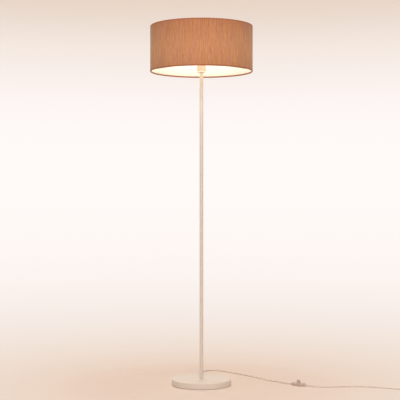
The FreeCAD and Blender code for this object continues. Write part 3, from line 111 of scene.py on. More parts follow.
def make_cord(name, points):
    """A round cord whose centre line is one NURBS spline."""
    curve = bpy.data.curves.new(name, "CURVE")
    curve.dimensions = "3D"
    curve.bevel_depth = CORD_DIAMETER / 2
    curve.bevel_resolution = CORD_SIDES
    curve.resolution_u = CORD_STEPS
    curve.use_fill_caps = True
    spline = curve.splines.new("NURBS")
    spline.points.add(len(points) - 1)
    for control, place in zip(spline.points, points):
        control.co = (*place, 1)
    spline.order_u = 3
    spline.use_endpoint_u = True
    cord = bpy.data.objects.new(name, curve)
    bpy.context.collection.objects.link(cord)
    print(name, len(points), "control points, centre line", round(spline.calc_length(), 4))
    return cord


# %% Where the switch lies
SWITCH_CENTRE = Vector((0.424, -0.025, 0.005))
SWITCH_TURN = math.radians(-35)
BOOT_REACH = 0.043
RUN_TO_SWITCH = 0.020
RUN_FROM_SWITCH = 0.022
SWITCH_WAY = Vector((math.cos(SWITCH_TURN), math.sin(SWITCH_TURN), 0))
print("switch at", tuple(SWITCH_CENTRE), "turned", SWITCH_TURN)

# %% From the base to the foot switch
RELIEF_LEVEL = 0.0055
NEAR_SWITCH_LEVEL = 0.0036
RELIEF_END = (0, 0.152, RELIEF_LEVEL)

lamp_side_route = [
    RELIEF_END, (0, 0.178, RELIEF_LEVEL),
    (0.0025, 0.213, FLOOR_LEVEL), (-0.001, 0.258, FLOOR_LEVEL), (0.002, 0.306, FLOOR_LEVEL),
    (0.014, 0.352, FLOOR_LEVEL), (0.042, 0.380, FLOOR_LEVEL), (0.082, 0.368, FLOOR_LEVEL),
    (0.113, 0.340, FLOOR_LEVEL), (0.145, 0.306, FLOOR_LEVEL), (0.176, 0.271, FLOOR_LEVEL),
    (0.205, 0.236, FLOOR_LEVEL), (0.231, 0.203, FLOOR_LEVEL), (0.255, 0.169, FLOOR_LEVEL),
    (0.278, 0.133, FLOOR_LEVEL), (0.304, 0.097, FLOOR_LEVEL), (0.332, 0.072, FLOOR_LEVEL),
    (0.350, 0.053, FLOOR_LEVEL), (0.361, 0.033, NEAR_SWITCH_LEVEL),
    SWITCH_CENTRE - SWITCH_WAY * (BOOT_REACH + RUN_TO_SWITCH),
    SWITCH_CENTRE - SWITCH_WAY * BOOT_REACH,
]
lamp_side_cord = make_cord("lamp_side_cord", lamp_side_route)

# %% [markdown]
# ## The put-away length
#
# The rest of the cord lies outside the picture. Its spare length is wound
# into a neat round coil, as it is for storage: two turns on the floor that
# spiral in, and two on top of them that spiral out. One formula gives every
# point of the coil, so its turns keep the same small gap everywhere. A spline
# cuts inside its points, so the points stand a little outside the turns.

# %% The coil's formula
COIL_CENTRE_Y = -0.100
COIL_CENTRE = Vector((0.904, COIL_CENTRE_Y, 0))
COIL_TURNS = 4
COIL_PITCH = 0.00615
COIL_INNER_RADIUS = 0.02685
COIL_OUTER_RADIUS = COIL_INNER_RADIUS + COIL_PITCH * COIL_TURNS / 2
COIL_LOW_LEVEL = 0.0038
COIL_STEPS = 24
STEP_TURN = 2 * math.pi / COIL_STEPS
CUT_GIVEN_BACK = 0.75
CORNER_SPREAD = 1 / math.cos(STEP_TURN / 2) ** CUT_GIVEN_BACK
print("coil:", COIL_TURNS, "turns,", round(2 * COIL_OUTER_RADIUS + CORD_DIAMETER, 4), "across")


def coil_point(angle):
    """A point of the coil's line; the radius allows for the spline's cut corners."""
    half_way = COIL_TURNS * math.pi
    radius = COIL_INNER_RADIUS + COIL_PITCH * abs(angle - half_way) / (2 * math.pi)
    climb = min(max((angle - half_way + math.pi / 2) / math.pi, 0), 1)
    level = COIL_LOW_LEVEL + COIL_PITCH * (1 - math.cos(math.pi * climb)) / 2
    turn = angle - math.pi / 2
    around = Vector((math.cos(turn), math.sin(turn), 0))
    return COIL_CENTRE + around * radius * CORNER_SPREAD + Vector((0, 0, level))


# %% From the foot switch to the plug
LEAD_LINE = COIL_CENTRE_Y - COIL_OUTER_RADIUS
PLUG_LEVEL = 0.00685
PLUG_REAR = Vector((0.974, LEAD_LINE, PLUG_LEVEL))
COIL_MOUTH = Vector((0.886, LEAD_LINE, COIL_LOW_LEVEL))
COIL_HIGH_LEVEL = COIL_LOW_LEVEL + COIL_PITCH

plug_side_route = [
    SWITCH_CENTRE + SWITCH_WAY * BOOT_REACH,
    SWITCH_CENTRE + SWITCH_WAY * (BOOT_REACH + RUN_FROM_SWITCH),
    (0.500, -0.072, NEAR_SWITCH_LEVEL),
    (0.532, -0.074, FLOOR_LEVEL), (0.574, -0.069, FLOOR_LEVEL), (0.624, -0.062, FLOOR_LEVEL),
    (0.680, -0.061, FLOOR_LEVEL), (0.738, -0.072, FLOOR_LEVEL), (0.790, -0.096, FLOOR_LEVEL),
    (0.834, -0.124, FLOOR_LEVEL), (0.866, LEAD_LINE, COIL_LOW_LEVEL), COIL_MOUTH,
]
plug_side_route += [coil_point(step * STEP_TURN) for step in range(COIL_TURNS * COIL_STEPS + 1)]
plug_side_route += [
    (0.930, LEAD_LINE, COIL_HIGH_LEVEL), (0.960, LEAD_LINE, PLUG_REAR.z), PLUG_REAR,
]
plug_side_cord = make_cord("plug_side_cord", plug_side_route)

# %% [markdown]
# ## The shade's cloth
#
# The drum is a strip of slubbed cloth, stretched over two wire rings and
# turned in over each of them. It is modelled as the cloth really runs: a few
# corners of its upright section are rounded with a bevel, the long side gets
# rows, and one full spin turns the section into the drum. The section keeps
# the distance along the cloth on its vertices, so that the weave can follow
# the cloth round the hems.

# %% Sizes of the shade
cloth_low, cloth_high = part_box("shade_cloth")
SHADE_RADIUS = cloth_high.x
SHADE_BOTTOM = cloth_low.z
SHADE_TOP = cloth_high.z
CLOTH_THICKNESS = 0.00045
SLUB_RISE = 0.00014
HEM_WIDTH = 0.0044
HEM_LIP = 0.006
HEM_CORNER = 0.0017
WALL_ROWS = 36
DRUM_STEPS = 640
print("shade radius", SHADE_RADIUS, "from", SHADE_BOTTOM, "to", SHADE_TOP)

# %% Slubs: thick places in the upright yarns
# The noise is read round a circle of so many cells, so it meets itself at the back.
SLUB_CIRCLE = 130
SLUB_LENGTH = 0.045


def slub_rise(place):
    """How far the cloth stands out at a place, from noise drawn long and upright."""
    around = math.atan2(place.x, -place.y)
    cell = Vector((SLUB_CIRCLE * math.sin(around), SLUB_CIRCLE * math.cos(around),
                   place.z / SLUB_LENGTH))
    return SLUB_RISE * noise.noise(cell)


# %% The section of the cloth, from lip to lip
cloth_mesh = bmesh.new()
along_layer = cloth_mesh.verts.layers.float.new("along")
wall_radius = SHADE_RADIUS - SLUB_RISE
lip_radius = wall_radius - HEM_WIDTH
corners = [
    (lip_radius, SHADE_BOTTOM + HEM_LIP), (lip_radius, SHADE_BOTTOM), (wall_radius, SHADE_BOTTOM),
    (wall_radius, SHADE_TOP), (lip_radius, SHADE_TOP), (lip_radius, SHADE_TOP - HEM_LIP),
]
section = [cloth_mesh.verts.new((0, radius, level)) for radius, level in corners]
for pair in zip(section, section[1:]):
    cloth_mesh.edges.new(pair)
bmesh.ops.bevel(cloth_mesh, geom=section[1:-1], offset=HEM_CORNER, affect="VERTICES", segments=4,
                profile=0.5, material=-1)
wall_line = max(cloth_mesh.edges, key=lambda edge: edge.calc_length())
bmesh.ops.subdivide_edges(cloth_mesh, edges=[wall_line], cuts=WALL_ROWS)
print("section of the cloth:", len(cloth_mesh.verts), "points")

# %% Measure along the section, then spin it
ends = [vert for vert in cloth_mesh.verts if len(vert.link_edges) == 1]
here = min(ends, key=lambda vert: vert.co.z)
came_by = None
distance = 0.0
while True:
    here[along_layer] = distance
    onward = [edge for edge in here.link_edges if edge is not came_by]
    if not onward:
        break
    came_by = onward[0]
    distance += came_by.calc_length()
    here = came_by.other_vert(here)
cloth_width = distance

bmesh.ops.spin(cloth_mesh, geom=list(cloth_mesh.verts) + list(cloth_mesh.edges), cent=(0, 0, 0),
               axis=(0, 0, 1), angle=2 * math.pi, steps=DRUM_STEPS, use_merge=True)
bmesh.ops.remove_doubles(cloth_mesh, verts=cloth_mesh.verts, dist=1e-5)
bmesh.ops.recalc_face_normals(cloth_mesh, faces=cloth_mesh.faces)
print("drum:", len(cloth_mesh.faces), "faces, cloth", round(cloth_width, 4), "wide")

# %% Notch the lower hem for the wire arms
ARM_COUNT = 3
FIRST_ARM_ANGLE = math.radians(90)
NOTCH_HALF = 0.0024
NOTCH_REACH = lip_radius + HEM_CORNER / 3
NOTCH_TOP = SHADE_BOTTOM + 2 * HEM_LIP
FAR_AWAY = 1.0

arm_ways = [Vector((math.cos(FIRST_ARM_ANGLE + 2 * math.pi * arm / ARM_COUNT),
                    math.sin(FIRST_ARM_ANGLE + 2 * math.pi * arm / ARM_COUNT), 0))
            for arm in range(ARM_COUNT)]
notched = []
for face in cloth_mesh.faces:
    place = face.calc_center_median()
    beside = min((place - way * place.dot(way)).to_2d().length if place.dot(way) > 0 else FAR_AWAY
                 for way in arm_ways)
    in_lower_lip = place.to_2d().length < NOTCH_REACH and place.z < NOTCH_TOP
    if in_lower_lip and beside < NOTCH_HALF:
        notched.append(face)
bmesh.ops.delete(cloth_mesh, geom=notched, context="FACES")
print("faces cut from the lower hem:", len(notched))

# %% Raise the slubs and give the cloth its own map
OUTER_FACING = 0.5

for vert in cloth_mesh.verts:
    outward = vert.co.to_2d().normalized().to_3d()
    if vert.normal.dot(outward) > OUTER_FACING:
        vert.co += outward * slub_rise(vert.co)

weave_map = cloth_mesh.loops.layers.uv.new("weave")


def map_weave(mesh, uv_layer, along):
    """Write metres round the drum and metres along the cloth as a map."""
    for face in mesh.faces:
        middle = face.calc_center_median()
        face_turn = math.atan2(middle.x, -middle.y)
        for loop in face.loops:
            turn = math.atan2(loop.vert.co.x, -loop.vert.co.y)
            if turn - face_turn > math.pi:
                turn -= 2 * math.pi
            elif face_turn - turn > math.pi:
                turn += 2 * math.pi
            loop[uv_layer].uv = (turn * SHADE_RADIUS, along(loop.vert))


map_weave(cloth_mesh, weave_map, lambda vert: vert[along_layer])


# %% A helper that turns a bmesh into a piece
def make_piece(name, mesh):
    """A new smooth object at the origin from a bmesh, which is freed."""
    data = bpy.data.meshes.new(name)
    mesh.to_mesh(data)
    mesh.free()
    for polygon in data.polygons:
        polygon.use_smooth = True
    piece = bpy.data.objects.new(name, data)
    bpy.context.collection.objects.link(piece)
    print(name, len(data.polygons), "faces")
    return piece


# %% The cloth as a piece with thickness
drum_cloth = make_piece("drum_cloth", cloth_mesh)
wall = drum_cloth.modifiers.new("cloth thickness", "SOLIDIFY")
wall.thickness = CLOTH_THICKNESS
wall.offset = -1

# %% [markdown]
# ## The seam at the back
#
# The strip of cloth meets itself at the back, where one end laps over the
# other. The lap is a narrow upright band, a little proud of the drum. A grid
# is bent onto the drum, and its free edges are pressed down so that the lap
# doesn't look like a plank.

# %% The lap of the cloth
seam_low, seam_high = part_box("back_seam")
SEAM_COLUMNS = 10
SEAM_ROWS = 36
LAP_THICKNESS = 0.0003
PRESSED_SHARE = 0.2

seam_mesh = bmesh.new()
bmesh.ops.create_grid(seam_mesh, x_segments=SEAM_COLUMNS, y_segments=SEAM_ROWS, size=0.5)
seam_width = seam_high.x - seam_low.x
seam_height = seam_high.z - seam_low.z
seam_radius = seam_high.y - SLUB_RISE
for vert in seam_mesh.verts:
    turn = vert.co.x * seam_width / seam_radius
    level = seam_low.z + (vert.co.y + 0.5) * seam_height
    from_middle = abs(vert.co.x) * 2
    pressed = CLOTH_THICKNESS / 2 * max(0, from_middle - (1 - PRESSED_SHARE)) / PRESSED_SHARE
    place = Vector((seam_radius * math.sin(turn), seam_radius * math.cos(turn), level))
    out = place.to_2d().normalized().to_3d()
    vert.co = place + out * (slub_rise(place) - pressed)
bmesh.ops.recalc_face_normals(seam_mesh, faces=seam_mesh.faces)
if sum(face.normal.y for face in seam_mesh.faces) < 0:
    bmesh.ops.reverse_faces(seam_mesh, faces=seam_mesh.faces)
seam_map = seam_mesh.loops.layers.uv.new("weave")
map_weave(seam_mesh, seam_map, lambda vert: vert.co.z - SHADE_BOTTOM + HEM_LIP + HEM_WIDTH)
seam_lap = make_piece("seam_lap", seam_mesh)
lap_wall = seam_lap.modifiers.new("cloth thickness", "SOLIDIFY")
lap_wall.thickness = LAP_THICKNESS
lap_wall.offset = -1

# %% [markdown]
# ## The button's return spring
#
# A small coil spring stands under the switch's button, and pressing the
# button shortens it. The imported spring is stiff, so a copy of it takes its
# place. Later the share of its length that it keeps under the pressed button
# is worked out from the button's travel.

# %% A copy of the spring
spring_low, spring_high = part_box("switch_spring")
spring_mesh = bmesh.new()
spring_mesh.from_mesh(parts["switch_spring"].data)
bmesh.ops.remove_doubles(spring_mesh, verts=spring_mesh.verts, dist=1e-6)
return_spring = make_piece("return_spring", spring_mesh)

# %% [markdown]
# ## Tools for finishes
#
# Every finish below is a small tree of shader nodes. Wiring nodes one by one
# hides what a finish does, so two small classes help. A Wire is the output
# of a node, and Python's operators on it add Math nodes: `1 - mask` works as
# it reads. A Finish is a material whose add() makes any node from its type,
# its settings and the values or wires of its sockets.


# %% Wires that can be added and multiplied
class Wire:
    """The output of a shader node, for use in sums."""

    def __init__(self, finish, socket):
        self.finish = finish
        self.socket = socket

    def __add__(self, other):
        return self.finish.maths("ADD", self, other)

    def __sub__(self, other):
        return self.finish.maths("SUBTRACT", self, other)

    def __rsub__(self, other):
        return self.finish.maths("SUBTRACT", other, self)

    def __mul__(self, other):
        return self.finish.maths("MULTIPLY", self, other)

    __radd__ = __add__
    __rmul__ = __mul__


# %% Finishes that add nodes
class Finish:
    """A material, and the one way in which nodes are added to it."""

    def __init__(self, name):
        self.material = bpy.data.materials.new(name)
        self.material.use_nodes = True
        self.tree = self.material.node_tree
        self.tree.nodes.clear()

    def add(self, kind, values=None, settings=None, output=0):
        """Add a node of a kind, set it up, and give back one of its outputs."""
        node = self.tree.nodes.new("ShaderNode" + kind)
        for name, value in (settings or {}).items():
            if name == "stops":
                self.set_stops(node.color_ramp, value)
            else:
                setattr(node, name, value)
        for name, value in (values or {}).items():
            if isinstance(value, Wire):
                self.tree.links.new(value.socket, node.inputs[name])
            else:
                node.inputs[name].default_value = value
        return Wire(self, node.outputs[output])

    def set_stops(self, ramp, stops):
        """Give a colour ramp its stops, as (position, colour)."""
        while len(ramp.elements) < len(stops):
            ramp.elements.new(1)
        for element, (position, colour) in zip(ramp.elements, stops):
            element.position = position
            element.color = colour

    def maths(self, operation, first, second):
        """A Math node on wires or numbers."""
        return self.add("Math", {0: first, 1: second}, {"operation": operation})

    def mix(self, share, first, second):
        """A colour between two others."""
        return self.add("Mix", {0: share, 6: first, 7: second}, {"data_type": "RGBA"}, 2)

    def times(self, first, second):
        """One colour multiplied by another."""
        return self.add("Mix", {0: 1.0, 6: first, 7: second},
                        {"data_type": "RGBA", "blend_type": "MULTIPLY"}, 2)

    def ramp(self, share, stops):
        """A colour looked up along stops."""
        return self.add("ValToRGB", {0: share}, {"stops": stops})

    def place(self):
        """The place on the piece, in metres."""
        return self.add("TexCoord", output=3)

    def grain(self, scale, where=None, detail=3.0, stretch=(1, 1, 1)):
        """Smooth noise, from about 0.3 to 0.7, with so many cells to the metre."""
        where = where or self.place()
        if stretch != (1, 1, 1):
            where = self.add("Mapping", {0: where, 3: stretch})
        return self.add("TexNoise", {"Vector": where, "Scale": scale, "Detail": detail})

    def bump(self, height, depth):
        """A normal that follows a height; depth is in metres."""
        return self.add("Bump", {"Height": height, "Distance": depth, "Strength": 1.0})

    def close(self, surface):
        """Join the shader to the material's output and give back the material."""
        end = self.tree.nodes.new("ShaderNodeOutputMaterial")
        self.tree.links.new(surface.socket, end.inputs["Surface"])
        return self.material


def shade_of(red, green, blue):
    """A colour as a screen names it, 0 to 255, turned into light."""
    light = [((part / 255 + 0.055) / 1.055) ** 2.4 if part > 10 else part / 255 / 12.92
             for part in (red, green, blue)]
    return (*light, 1)


# %% [markdown]
# ## The cloth's finish
#
# The cloth is brown, with upright yarns that swell into slubs. Some yarns
# are pinker and some more golden, and that is a slow noise across the drum;
# the slubs are a finer noise, drawn out along the yarn. The lamp is lit, so
# the wall of the drum glows: light comes through the single cloth, most of
# it level with the bulb, and next to none through the wire rings and turned
# hems, which look darker. The glow is an emission colour that follows the
# same yarns, because thick places let less light through.

# %% Cloth
WALL_FROM = HEM_LIP + HEM_WIDTH
WALL_TO = cloth_width - WALL_FROM
HEM_SHOWN = 0.0032
HEM_FADE = 0.0020
CLOTH_ROUGHNESS = 0.86
YARN_RISE = 0.0004
# The outer hem bands get a darker colour: painted shade, where the wire ring and the doubled cloth hold back the
# bulb's light.
HEM_PAINTED_SHADE = (0.80, 0.78, 0.74, 1)
LIP_TONE = (0.86, 1.0, 1.0, 1)
WALL_TONE = (1, 1, 1, 1)
NO_LIGHT = (0.014, 0.010, 0.004, 1)
print("single cloth from", round(WALL_FROM, 4), "to", round(WALL_TO, 4), "of its width")


def along_cloth(distance):
    """A distance from the lower lip as a share of the cloth's width."""
    return distance / cloth_width


def wall_level(share):
    """A share of the wall's height as a share of the cloth's width."""
    return along_cloth(WALL_FROM + share * (WALL_TO - WALL_FROM))


def cloth_finish():
    """Slubbed brown cloth with light behind it."""
    finish = Finish("shade_cloth")
    weave = finish.add("UVMap", settings={"uv_map": "weave"})
    yarns = finish.grain(1, weave, 4, (240, 9, 1))
    slubs = finish.grain(1, weave, 3, (300, 34, 1))
    tones = finish.grain(1, weave, 2, (42, 7, 1))
    threads = finish.grain(1, weave, 1, (1500, 900, 1))
    light_places = yarns * 0.55 + slubs * 0.45
    golden = finish.ramp(light_places, [
        (0.36, shade_of(175, 103, 59)), (0.50, shade_of(188, 113, 66)), (0.64, shade_of(200, 126, 76))])
    pinker = finish.ramp(light_places, [
        (0.36, shade_of(171, 100, 70)), (0.64, shade_of(195, 122, 90))])
    yarn_colour = finish.mix(tones * 4 - 1.5, golden, pinker)
    along = finish.add("SeparateXYZ", {0: weave}, output=1)
    share = along * (1 / cloth_width)
    # Painted shade: the outer hem bands are darkened where little light comes through, and the inner lips get a
    # less red tint.
    hems = finish.ramp(share, [
        (along_cloth(HEM_LIP), LIP_TONE), (along_cloth(WALL_FROM), HEM_PAINTED_SHADE),
        (along_cloth(WALL_FROM + HEM_SHOWN), HEM_PAINTED_SHADE),
        (along_cloth(WALL_FROM + HEM_SHOWN + HEM_FADE), WALL_TONE),
        (along_cloth(WALL_TO - HEM_SHOWN - HEM_FADE), WALL_TONE),
        (along_cloth(WALL_TO - HEM_SHOWN), HEM_PAINTED_SHADE), (along_cloth(WALL_TO), HEM_PAINTED_SHADE),
        (along_cloth(WALL_TO + HEM_WIDTH), LIP_TONE)])
    behind = finish.ramp(share, [
        (along_cloth(WALL_FROM + HEM_SHOWN), NO_LIGHT),
        (along_cloth(WALL_FROM + HEM_SHOWN + HEM_FADE), (0.042, 0.054, 0.026, 1)),
        (wall_level(0.12), (0.068, 0.066, 0.030, 1)), (wall_level(0.33), (0.106, 0.086, 0.040, 1)),
        (wall_level(0.53), (0.096, 0.082, 0.037, 1)), (wall_level(0.78), (0.052, 0.057, 0.026, 1)),
        (along_cloth(WALL_TO - HEM_SHOWN - HEM_FADE), (0.012, 0.022, 0.010, 1)),
        (along_cloth(WALL_TO - HEM_SHOWN), NO_LIGHT)])
    thinness = finish.ramp(light_places, [(0.34, (0.72, 0.72, 0.72, 1)), (0.66, (1.28, 1.28, 1.28, 1))])
    glow = finish.times(behind, thinness)
    relief = finish.bump(slubs * 0.7 + threads * 0.3, YARN_RISE)
    return finish.close(finish.add("BsdfPrincipled", {
        "Base Color": finish.times(yarn_colour, hems), "Roughness": CLOTH_ROUGHNESS,
        "Normal": relief, "Emission Color": glow, "Emission Strength": 1.0,
        "Sheen Weight": 0.1, "Sheen Roughness": 0.5}))


# %% [markdown]
# ## The liner's finish
#
# The drum's stiff lining is white, and the bulb lights it from a hand's
# breadth away. It is brightest level with the bulb. An emission colour that
# fades up and down the wall stands for that light, so that the inside stays
# bright when the scene's own lamps change.

# %% Liner
LINER_ROUGHNESS = 0.55
LINER_GLOW = 0.54


def liner_finish():
    """White lining, bright from the bulb beside it."""
    finish = Finish("shade_liner")
    place = finish.place()
    level = finish.add("SeparateXYZ", {0: place}, output=2)
    height = (level - SHADE_BOTTOM) * (1 / (SHADE_TOP - SHADE_BOTTOM))
    lit = finish.ramp(height, [(0.0, shade_of(230, 216, 188)), (0.14, shade_of(240, 235, 222)),
                               (0.5, shade_of(250, 246, 234)), (1.0, shade_of(222, 202, 170))])
    speckle = finish.grain(900, place, 2)
    white = finish.ramp(speckle, [(0.3, shade_of(226, 220, 208)), (0.7, shade_of(236, 231, 220))])
    return finish.close(finish.add("BsdfPrincipled", {
        "Base Color": white, "Roughness": LINER_ROUGHNESS, "Normal": finish.bump(speckle, 0.00003),
        "Emission Color": lit, "Emission Strength": LINER_GLOW}))


# %% [markdown]
# ## Enamel, plastic, rubber and metal
#
# Most other finishes differ in the same few ways: two colours that a noise
# mixes, a roughness that the noise shifts, and how deep the surface's grain
# is. One function makes them all from those values, and each finish still
# gets its own scale: powder enamel has a fine orange-peel, cast iron is
# coarse, moulded plastic is nearly smooth. Bare metals have a function of
# their own, because tool marks change how they shine.

# %% Plain finishes
CLOUD_SCALE = 30
CLOUD_SWING = 0.16


def plain_finish(name, dark, light, roughness, cells, depth, **more):
    """A finish of two near colours with its own grain."""
    finish = Finish(name)
    place = finish.place()
    fine = finish.grain(cells, place, 3)
    slow = finish.grain(cells / CLOUD_SCALE, place, 2)
    share = fine * 0.5 + slow * 0.5
    values = {
        "Base Color": finish.ramp(share, [(0.35, dark), (0.65, light)]),
        "Roughness": roughness + (slow - 0.5) * CLOUD_SWING,
        "Normal": finish.bump(fine, depth),
    }
    values.update(more)
    return finish.close(finish.add("BsdfPrincipled", values))


# %% Bare metals
MARK_CELLS = 700
MARK_DEPTH = 0.00002
METAL_CLOUDS = 60
METAL_SWING = 0.2


def metal_finish(name, dark, light, roughness):
    """Bare metal, with fine tool marks and a few duller clouds."""
    finish = Finish(name)
    place = finish.place()
    marks = finish.grain(MARK_CELLS, place, 4)
    clouds = finish.grain(METAL_CLOUDS, place, 3)
    return finish.close(finish.add("BsdfPrincipled", {
        "Base Color": finish.ramp(clouds, [(0.35, dark), (0.65, light)]),
        "Metallic": 1.0,
        "Roughness": roughness + (marks - 0.5) * METAL_SWING + (clouds - 0.5) * METAL_SWING,
        "Normal": finish.bump(marks, MARK_DEPTH)}))


# %% [markdown]
# ## The lampholder and the bulb
#
# The lampholder is white plastic. Its upper half holds the burning bulb, and
# a little of that light comes through the plastic as amber, which grows from
# the foot of the cap up. The bulb's opal glass is the brightest thing in the
# lamp, and its own light is warm.

# %% Lampholder and bulb
holder_low, holder_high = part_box("holder_cap")
bulb_low, bulb_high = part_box("bulb_glass")
AMBER_REACH = 2 * (holder_high.z - holder_low.z)
OPAL_GLOW = 1.8
PHOSPHOR_GLOW = 2.0
print("bulb from", bulb_low.z, "to", bulb_high.z)


def holder_finish():
    """White plastic with amber light in its upper half."""
    finish = Finish("holder_white")
    place = finish.place()
    fine = finish.grain(500, place, 2)
    level = finish.add("SeparateXYZ", {0: place}, output=2)
    height = (level - holder_low.z) * (1 / AMBER_REACH)
    amber = finish.ramp(height, [(0.0, shade_of(124, 106, 82)), (0.45, shade_of(144, 110, 66)),
                                 (0.8, shade_of(190, 118, 12))])
    white = finish.ramp(fine, [(0.3, shade_of(226, 217, 204)), (0.7, shade_of(236, 228, 216))])
    return finish.close(finish.add("BsdfPrincipled", {
        "Base Color": white, "Roughness": 0.36 + (fine - 0.5) * 0.1,
        "Normal": finish.bump(fine, 0.00002),
        "Emission Color": amber, "Emission Strength": 1.0}))


def opal_finish():
    """Opal glass with the light sticks behind it."""
    finish = Finish("opal_glass")
    place = finish.place()
    level = finish.add("SeparateXYZ", {0: place}, output=2)
    height = (level - bulb_low.z) * (1 / (bulb_high.z - bulb_low.z))
    lit = finish.ramp(height, [(0.0, shade_of(240, 190, 120)), (0.35, shade_of(255, 226, 176)),
                               (0.7, shade_of(255, 238, 204)), (1.0, shade_of(255, 230, 186))])
    cloud = finish.grain(120, place, 2)
    white = finish.ramp(cloud, [(0.3, shade_of(240, 232, 218)), (0.7, shade_of(247, 241, 230))])
    return finish.close(finish.add("BsdfPrincipled", {
        "Base Color": white, "Roughness": 0.22 + (cloud - 0.5) * 0.1,
        "Emission Color": lit, "Emission Strength": OPAL_GLOW}))


def clear_finish(name, colour, **more):
    """Clear or dark glass."""
    finish = Finish(name)
    cloud = finish.grain(200)
    values = {"Base Color": colour, "Roughness": 0.04 + cloud * 0.06, "IOR": 1.5}
    values.update(more)
    return finish.close(finish.add("BsdfPrincipled", values))


def phosphor_finish():
    """Yellow light sticks, with a dot for each chip along them."""
    finish = Finish("phosphor")
    dots = finish.grain(600, stretch=(1, 1, 2.5))
    yellow = finish.ramp(dots, [(0.4, shade_of(236, 170, 40)), (0.6, shade_of(255, 214, 110))])
    return finish.close(finish.add("BsdfPrincipled", {
        "Base Color": yellow, "Roughness": 0.5,
        "Emission Color": yellow, "Emission Strength": PHOSPHOR_GLOW}))


# %% [markdown]
# ## One finish for each slot
#
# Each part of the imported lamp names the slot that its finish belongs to. The
# dictionary below has one finish for every slot, and a loop hands them out.
# The pieces made above take theirs from the same dictionary.

# %% Every finish by its slot
finishes = {
    "white_enamel": plain_finish("white_enamel", shade_of(224, 210, 197), shade_of(230, 217, 204),
                                 0.38, 1400, 0.00001,
                                 **{"Coat Weight": 0.1, "Coat Roughness": 0.25}),
    "cast_iron": plain_finish("cast_iron", shade_of(38, 36, 34), shade_of(66, 62, 58),
                              0.72, 500, 0.0003),
    "mat_rubber": plain_finish("mat_rubber", shade_of(30, 29, 28), shade_of(44, 43, 41),
                               0.8, 900, 0.0001),
    "zinc_steel": metal_finish("zinc_steel", shade_of(168, 168, 164), shade_of(206, 205, 198), 0.34),
    "brass": metal_finish("brass", shade_of(184, 142, 66), shade_of(222, 184, 104), 0.3),
    "holder_white": holder_finish(),
    "core_cream": plain_finish("core_cream", shade_of(218, 205, 180), shade_of(232, 222, 200),
                               0.5, 600, 0.00005),
    "opal_glass": opal_finish(),
    "clear_glass": clear_finish("clear_glass", (0.95, 0.97, 0.96, 1), **{"Transmission Weight": 1.0}),
    "black_glass": clear_finish("black_glass", shade_of(24, 22, 24)),
    "cap_aluminium": metal_finish("cap_aluminium", shade_of(186, 184, 180), shade_of(216, 214, 208),
                                  0.36),
    "phosphor": phosphor_finish(),
    "shade_cloth": cloth_finish(),
    "shade_liner": liner_finish(),
    "cord_sheath": plain_finish("cord_sheath", shade_of(218, 202, 190), shade_of(230, 215, 203),
                                0.42, 900, 0.00003),
    "relief_rubber": plain_finish("relief_rubber", shade_of(206, 190, 178), shade_of(220, 204, 192),
                                  0.55, 900, 0.00004),
    "lead_sleeve": plain_finish("lead_sleeve", shade_of(64, 92, 140), shade_of(78, 108, 158),
                                0.45, 900, 0.00003),
    "switch_plastic": plain_finish("switch_plastic", shade_of(190, 168, 156),
                                   shade_of(202, 181, 169), 0.3, 800, 0.00002),
    "switch_inside": plain_finish("switch_inside", shade_of(216, 210, 196), shade_of(230, 224, 212),
                                  0.6, 700, 0.00004),
    "spring_steel": metal_finish("spring_steel", shade_of(150, 150, 150), shade_of(196, 196, 194),
                                 0.28),
    "tie_plastic": plain_finish("tie_plastic", shade_of(222, 214, 204), shade_of(234, 227, 218),
                                0.4, 900, 0.00003),
    "plug_plastic": plain_finish("plug_plastic", shade_of(214, 198, 186), shade_of(226, 211, 199),
                                 0.36, 800, 0.00003),
    "plug_metal": metal_finish("plug_metal", shade_of(190, 186, 176), shade_of(220, 216, 206), 0.22),
    "sleeve_black": plain_finish("sleeve_black", shade_of(26, 25, 25), shade_of(38, 37, 36),
                                 0.5, 900, 0.00003),
}
print("finishes:", len(finishes))

# %% Put each finish on its parts
dressed = 0
for subpart in frame["record"]["subparts"]:
    part = parts[subpart["node"]]
    finish = finishes[subpart["material_slot"]]
    for slot in part.material_slots:
        slot.material = finish
        dressed += 1

for piece, slot_name in ((drum_cloth, "shade_cloth"), (seam_lap, "shade_cloth"),
                         (return_spring, "spring_steel"), (lamp_side_cord, "cord_sheath"),
                         (plug_side_cord, "cord_sheath")):
    piece.data.materials.clear()
    piece.data.materials.append(finishes[slot_name])
print("slots given a finish:", dressed)

# %% [markdown]
# ## The floor and the backdrop
#
# A studio's floor runs on into its backdrop, so that no line shows between
# them. Here the floor is a pale disc, and the backdrop a wide ring that
# rises round it in a curve. The backdrop casts no shadow and no light on
# matt things, so only the camera and shiny things see it. Near the lamp the
# floor is matt and takes shadows; further out it fades, for the camera and
# shiny things, into colours of its own. These go from peach near the lamp to
# nearly white far away, and the backdrop's go back to peach high up, as lit
# paper does.

# %% Stage sizes
FLOOR_RADIUS = 9.0
COVE_RADIUS = 2.5
WALL_TOP = 9.0
FLOOR_DROP = 0.0002
FADE_FROM = 0.28
FADE_TO = 0.68
STAGE_STEPS = 96
COVE_SEGMENTS = 16
COVE_SHARE = 0.99

# %% The floor
floor_mesh = bmesh.new()
bmesh.ops.create_circle(floor_mesh, cap_ends=True, segments=STAGE_STEPS, radius=FLOOR_RADIUS)
bmesh.ops.translate(floor_mesh, verts=floor_mesh.verts, vec=(0, 0, -FLOOR_DROP))
floor = make_piece("floor", floor_mesh)

